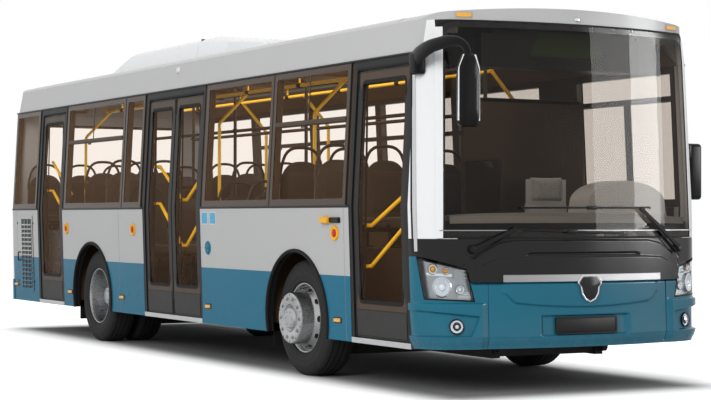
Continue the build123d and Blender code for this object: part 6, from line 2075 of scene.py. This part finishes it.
class BUS_OT_stage(bpy.types.Operator):
    """Pale floor with a painted shadow round the bus, soft studio light, a white surround and the camera"""
    bl_idname = "bus.stage"
    bl_label = "Stage"

    def execute(self, context):
        scene = context.scene
        scene.view_settings.view_transform = "Standard"
        self.floor()
        self.surround(scene)
        self.lamps()
        self.camera(scene)
        return {"FINISHED"}

    def floor(self):
        """A round floor with a painted shadow round the bus: darker and without its glow near the bus, brighter away
        from it, and fading into the white surround at its rim.
        """
        # grey is the colour of the painted shadow near the bus; pale is the floor's own colour.
        grey, pale = (0.26, 0.26, 0.26), (0.86, 0.86, 0.86)
        finish = Finish("studio_floor", pale, 0.9, specular=0.1)
        x, y = finish.axes()[:2]
        fade = (((x * x + y * y) ** 0.5 - 9.0) * 0.1).clear()
        # How far a point lies outside the bus's footprint, which places the painted shadow.
        ahead = ((x.math("ABSOLUTE") - 4.45) * 0.5).clear()
        beside = ((y.math("ABSOLUTE") - 0.95) * 0.5).clear()
        distance = (ahead * ahead + beside * beside) ** 0.5
        # away is 0 inside the painted shadow and 1 clear of it.
        away = ((distance - 0.05) * 3.2).clear()
        # Painted shadow: the base colour is grey near the bus and pale away from it.
        finish.set("Base Color", finish.blend((distance * 5.0).clear(), grey, pale))
        seen = Value(finish, finish.node("ShaderNodeLightPath").outputs["Is Camera Ray"])
        # The glow that the camera sees is added only clear of the painted shadow, so the floor stays dark round the
        # bus.
        shine = finish.node("ShaderNodeEmission", {}, (1.0, 1.0, 1.0, 1.0), 0.70).outputs[0]
        plain = finish.shader.outputs[0]
        bright = finish.node("ShaderNodeAddShader", {}, plain, shine).outputs[0]
        lit = finish.node("ShaderNodeMixShader", {}, seen * away, plain, bright).outputs[0]
        gone = finish.node("ShaderNodeBsdfTransparent").outputs[0]
        finish.show(finish.node("ShaderNodeMixShader", {}, fade, lit, gone))
        radius, angle = np.linspace(0.0, 50.0, 26)[1:], np.arange(96) * 2 * math.pi / 96
        r, a = np.meshgrid(radius, angle, indexing="ij")
        form = Form(np.stack([r * np.cos(a), r * np.sin(a), np.full_like(r, -0.001)], axis=-1),
                    [grid_faces(25, 96, False, True), np.arange(96)[None, :]])
        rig.stage(linked_object("studio_floor", form_mesh("studio_floor", form, finish.material)))

    def surround(self, scene):
        """White where it is seen or mirrored, and a softer light on the bus."""
        scene.world = bpy.data.worlds.new("studio")
        sky = Nodes(scene.world)
        path = sky.node("ShaderNodeLightPath").outputs
        seen, mirrored, through = [Value(sky, path["Is " + ray + " Ray"])
                                   for ray in ("Camera", "Glossy", "Transmission")]
        shown = sky.node("ShaderNodeBackground", {}, (1.0, 1.0, 1.0, 1.0)).outputs[0]
        lighting = sky.node("ShaderNodeBackground", {}, (0.96, 0.98, 1.0, 1.0), 0.34).outputs[0]
        white = seen.math("MAXIMUM", mirrored).math("MAXIMUM", through)
        mixed = sky.node("ShaderNodeMixShader", {}, white, lighting, shown)
        sky.node("ShaderNodeOutputWorld", {}, mixed.outputs[0])

    def lamps(self):
        """Large soft boxes: place, aim, size, power in watts. Mirrored ones show in gloss and glass only."""
        for name, place, aim, size, power in (
            ("key", (13.0, -13.0, 8.0), (0.0, 0.0, 1.4), (8.0, 8.0), 1750.0),
            ("fill_front", (18.0, 5.0, 6.0), (2.0, 0.0, 1.2), (7.0, 7.0), 380.0),
            ("mirrored_wide", (12.1, 10.2, 3.4), (4.6, 0.4, 2.6), (6.4, 3.2), 430.0),
            ("mirrored_narrow", (10.6, 10.6, 3.4), (4.6, 0.5, 2.6), (2.4, 3.2), 300.0),
            ("cabin", (0.0, 0.0, 2.54), (0.0, 0.0, 0.0), (8.0, 0.6), 45.0),
            ("fill_side", (-10.0, -14.0, 6.0), (-1.0, 0.0, 1.4), (8.0, 8.0), 420.0),
            ("fill_back", (-14.0, 10.0, 8.0), (0.0, 0.0, 1.6), (8.0, 8.0), 560.0),
            ("top", (0.0, 0.0, 14.0), (0.0, 0.0, 0.0), (12.0, 12.0), 700.0),
        ):
            data = bpy.data.lights.new(name, "AREA")
            data.shape = "ELLIPSE" if size[0] == size[1] else "RECTANGLE"
            data.size, data.size_y = size
            data.energy = power
            lamp = linked_object(name, data)
            lamp.location = place
            lamp.visible_glossy = name.startswith("mirrored")
            lamp.visible_diffuse = not lamp.visible_glossy
            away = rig.Vector(place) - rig.Vector(aim)
            lamp.rotation_euler = away.to_track_quat("Z", "Y").to_euler()

    def camera(self, scene):
        """A long lens at eye height, nearly level."""
        data = bpy.data.cameras.new("camera")
        data.sensor_width, data.lens, data.clip_end = 36.0, 92.27, 400.0
        scene.camera = linked_object("camera", data)
        ahead = unit(np.array([-0.87762, 0.47927, 0.00946]))
        right = unit(np.cross(ahead, [0, 0, 1]))
        up, roll = np.cross(right, ahead), math.radians(0.076)
        matrix = np.eye(4)
        matrix[:3, 0] = right * math.cos(roll) + up * math.sin(roll)
        matrix[:3, 1] = up * math.cos(roll) - right * math.sin(roll)
        matrix[:3, 2], matrix[:3, 3] = -ahead, (15.462, -7.805, 1.272)
        scene.camera.matrix_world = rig.Matrix(matrix.tolist())

# ============================== panel and run ==============================

OPERATORS = [value for name, value in list(globals().items()) if name.startswith("BUS_OT_")]


class BUS_PT_panel(bpy.types.Panel):
    """City bus"""
    bl_label = "City Bus"
    bl_idname = "BUS_PT_panel"
    bl_space_type = "VIEW_3D"
    bl_region_type = "UI"
    bl_category = "City Bus"

    def draw(self, context):
        for group in (context.scene.bus_colours, context.scene.bus_sizes):
            for key in group.bl_rna.properties.keys():
                if key not in ("rna_type", "name"):
                    self.layout.prop(group, key)
        for operator in OPERATORS:
            self.layout.operator(operator.bl_idname)


CLASSES = [BusColours, BusSizes] + OPERATORS + [BUS_PT_panel]


def register():
    for item in CLASSES:
        bpy.utils.register_class(item)
    bpy.types.Scene.bus_colours = PointerProperty(type=BusColours)
    bpy.types.Scene.bus_sizes = PointerProperty(type=BusSizes)


def unregister():
    del bpy.types.Scene.bus_sizes
    del bpy.types.Scene.bus_colours
    for item in reversed(CLASSES):
        bpy.utils.unregister_class(item)


def main():
    register()
    for operator in OPERATORS:
        group, name = operator.bl_idname.split(".")
        getattr(getattr(bpy.ops, group), name)()
    visual = [list(corner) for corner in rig.bounds()]
    with open("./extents.json", "w") as file:
        json.dump({"cad": cad_box, "visual": visual}, file)


if __name__ == "__main__":
    main()
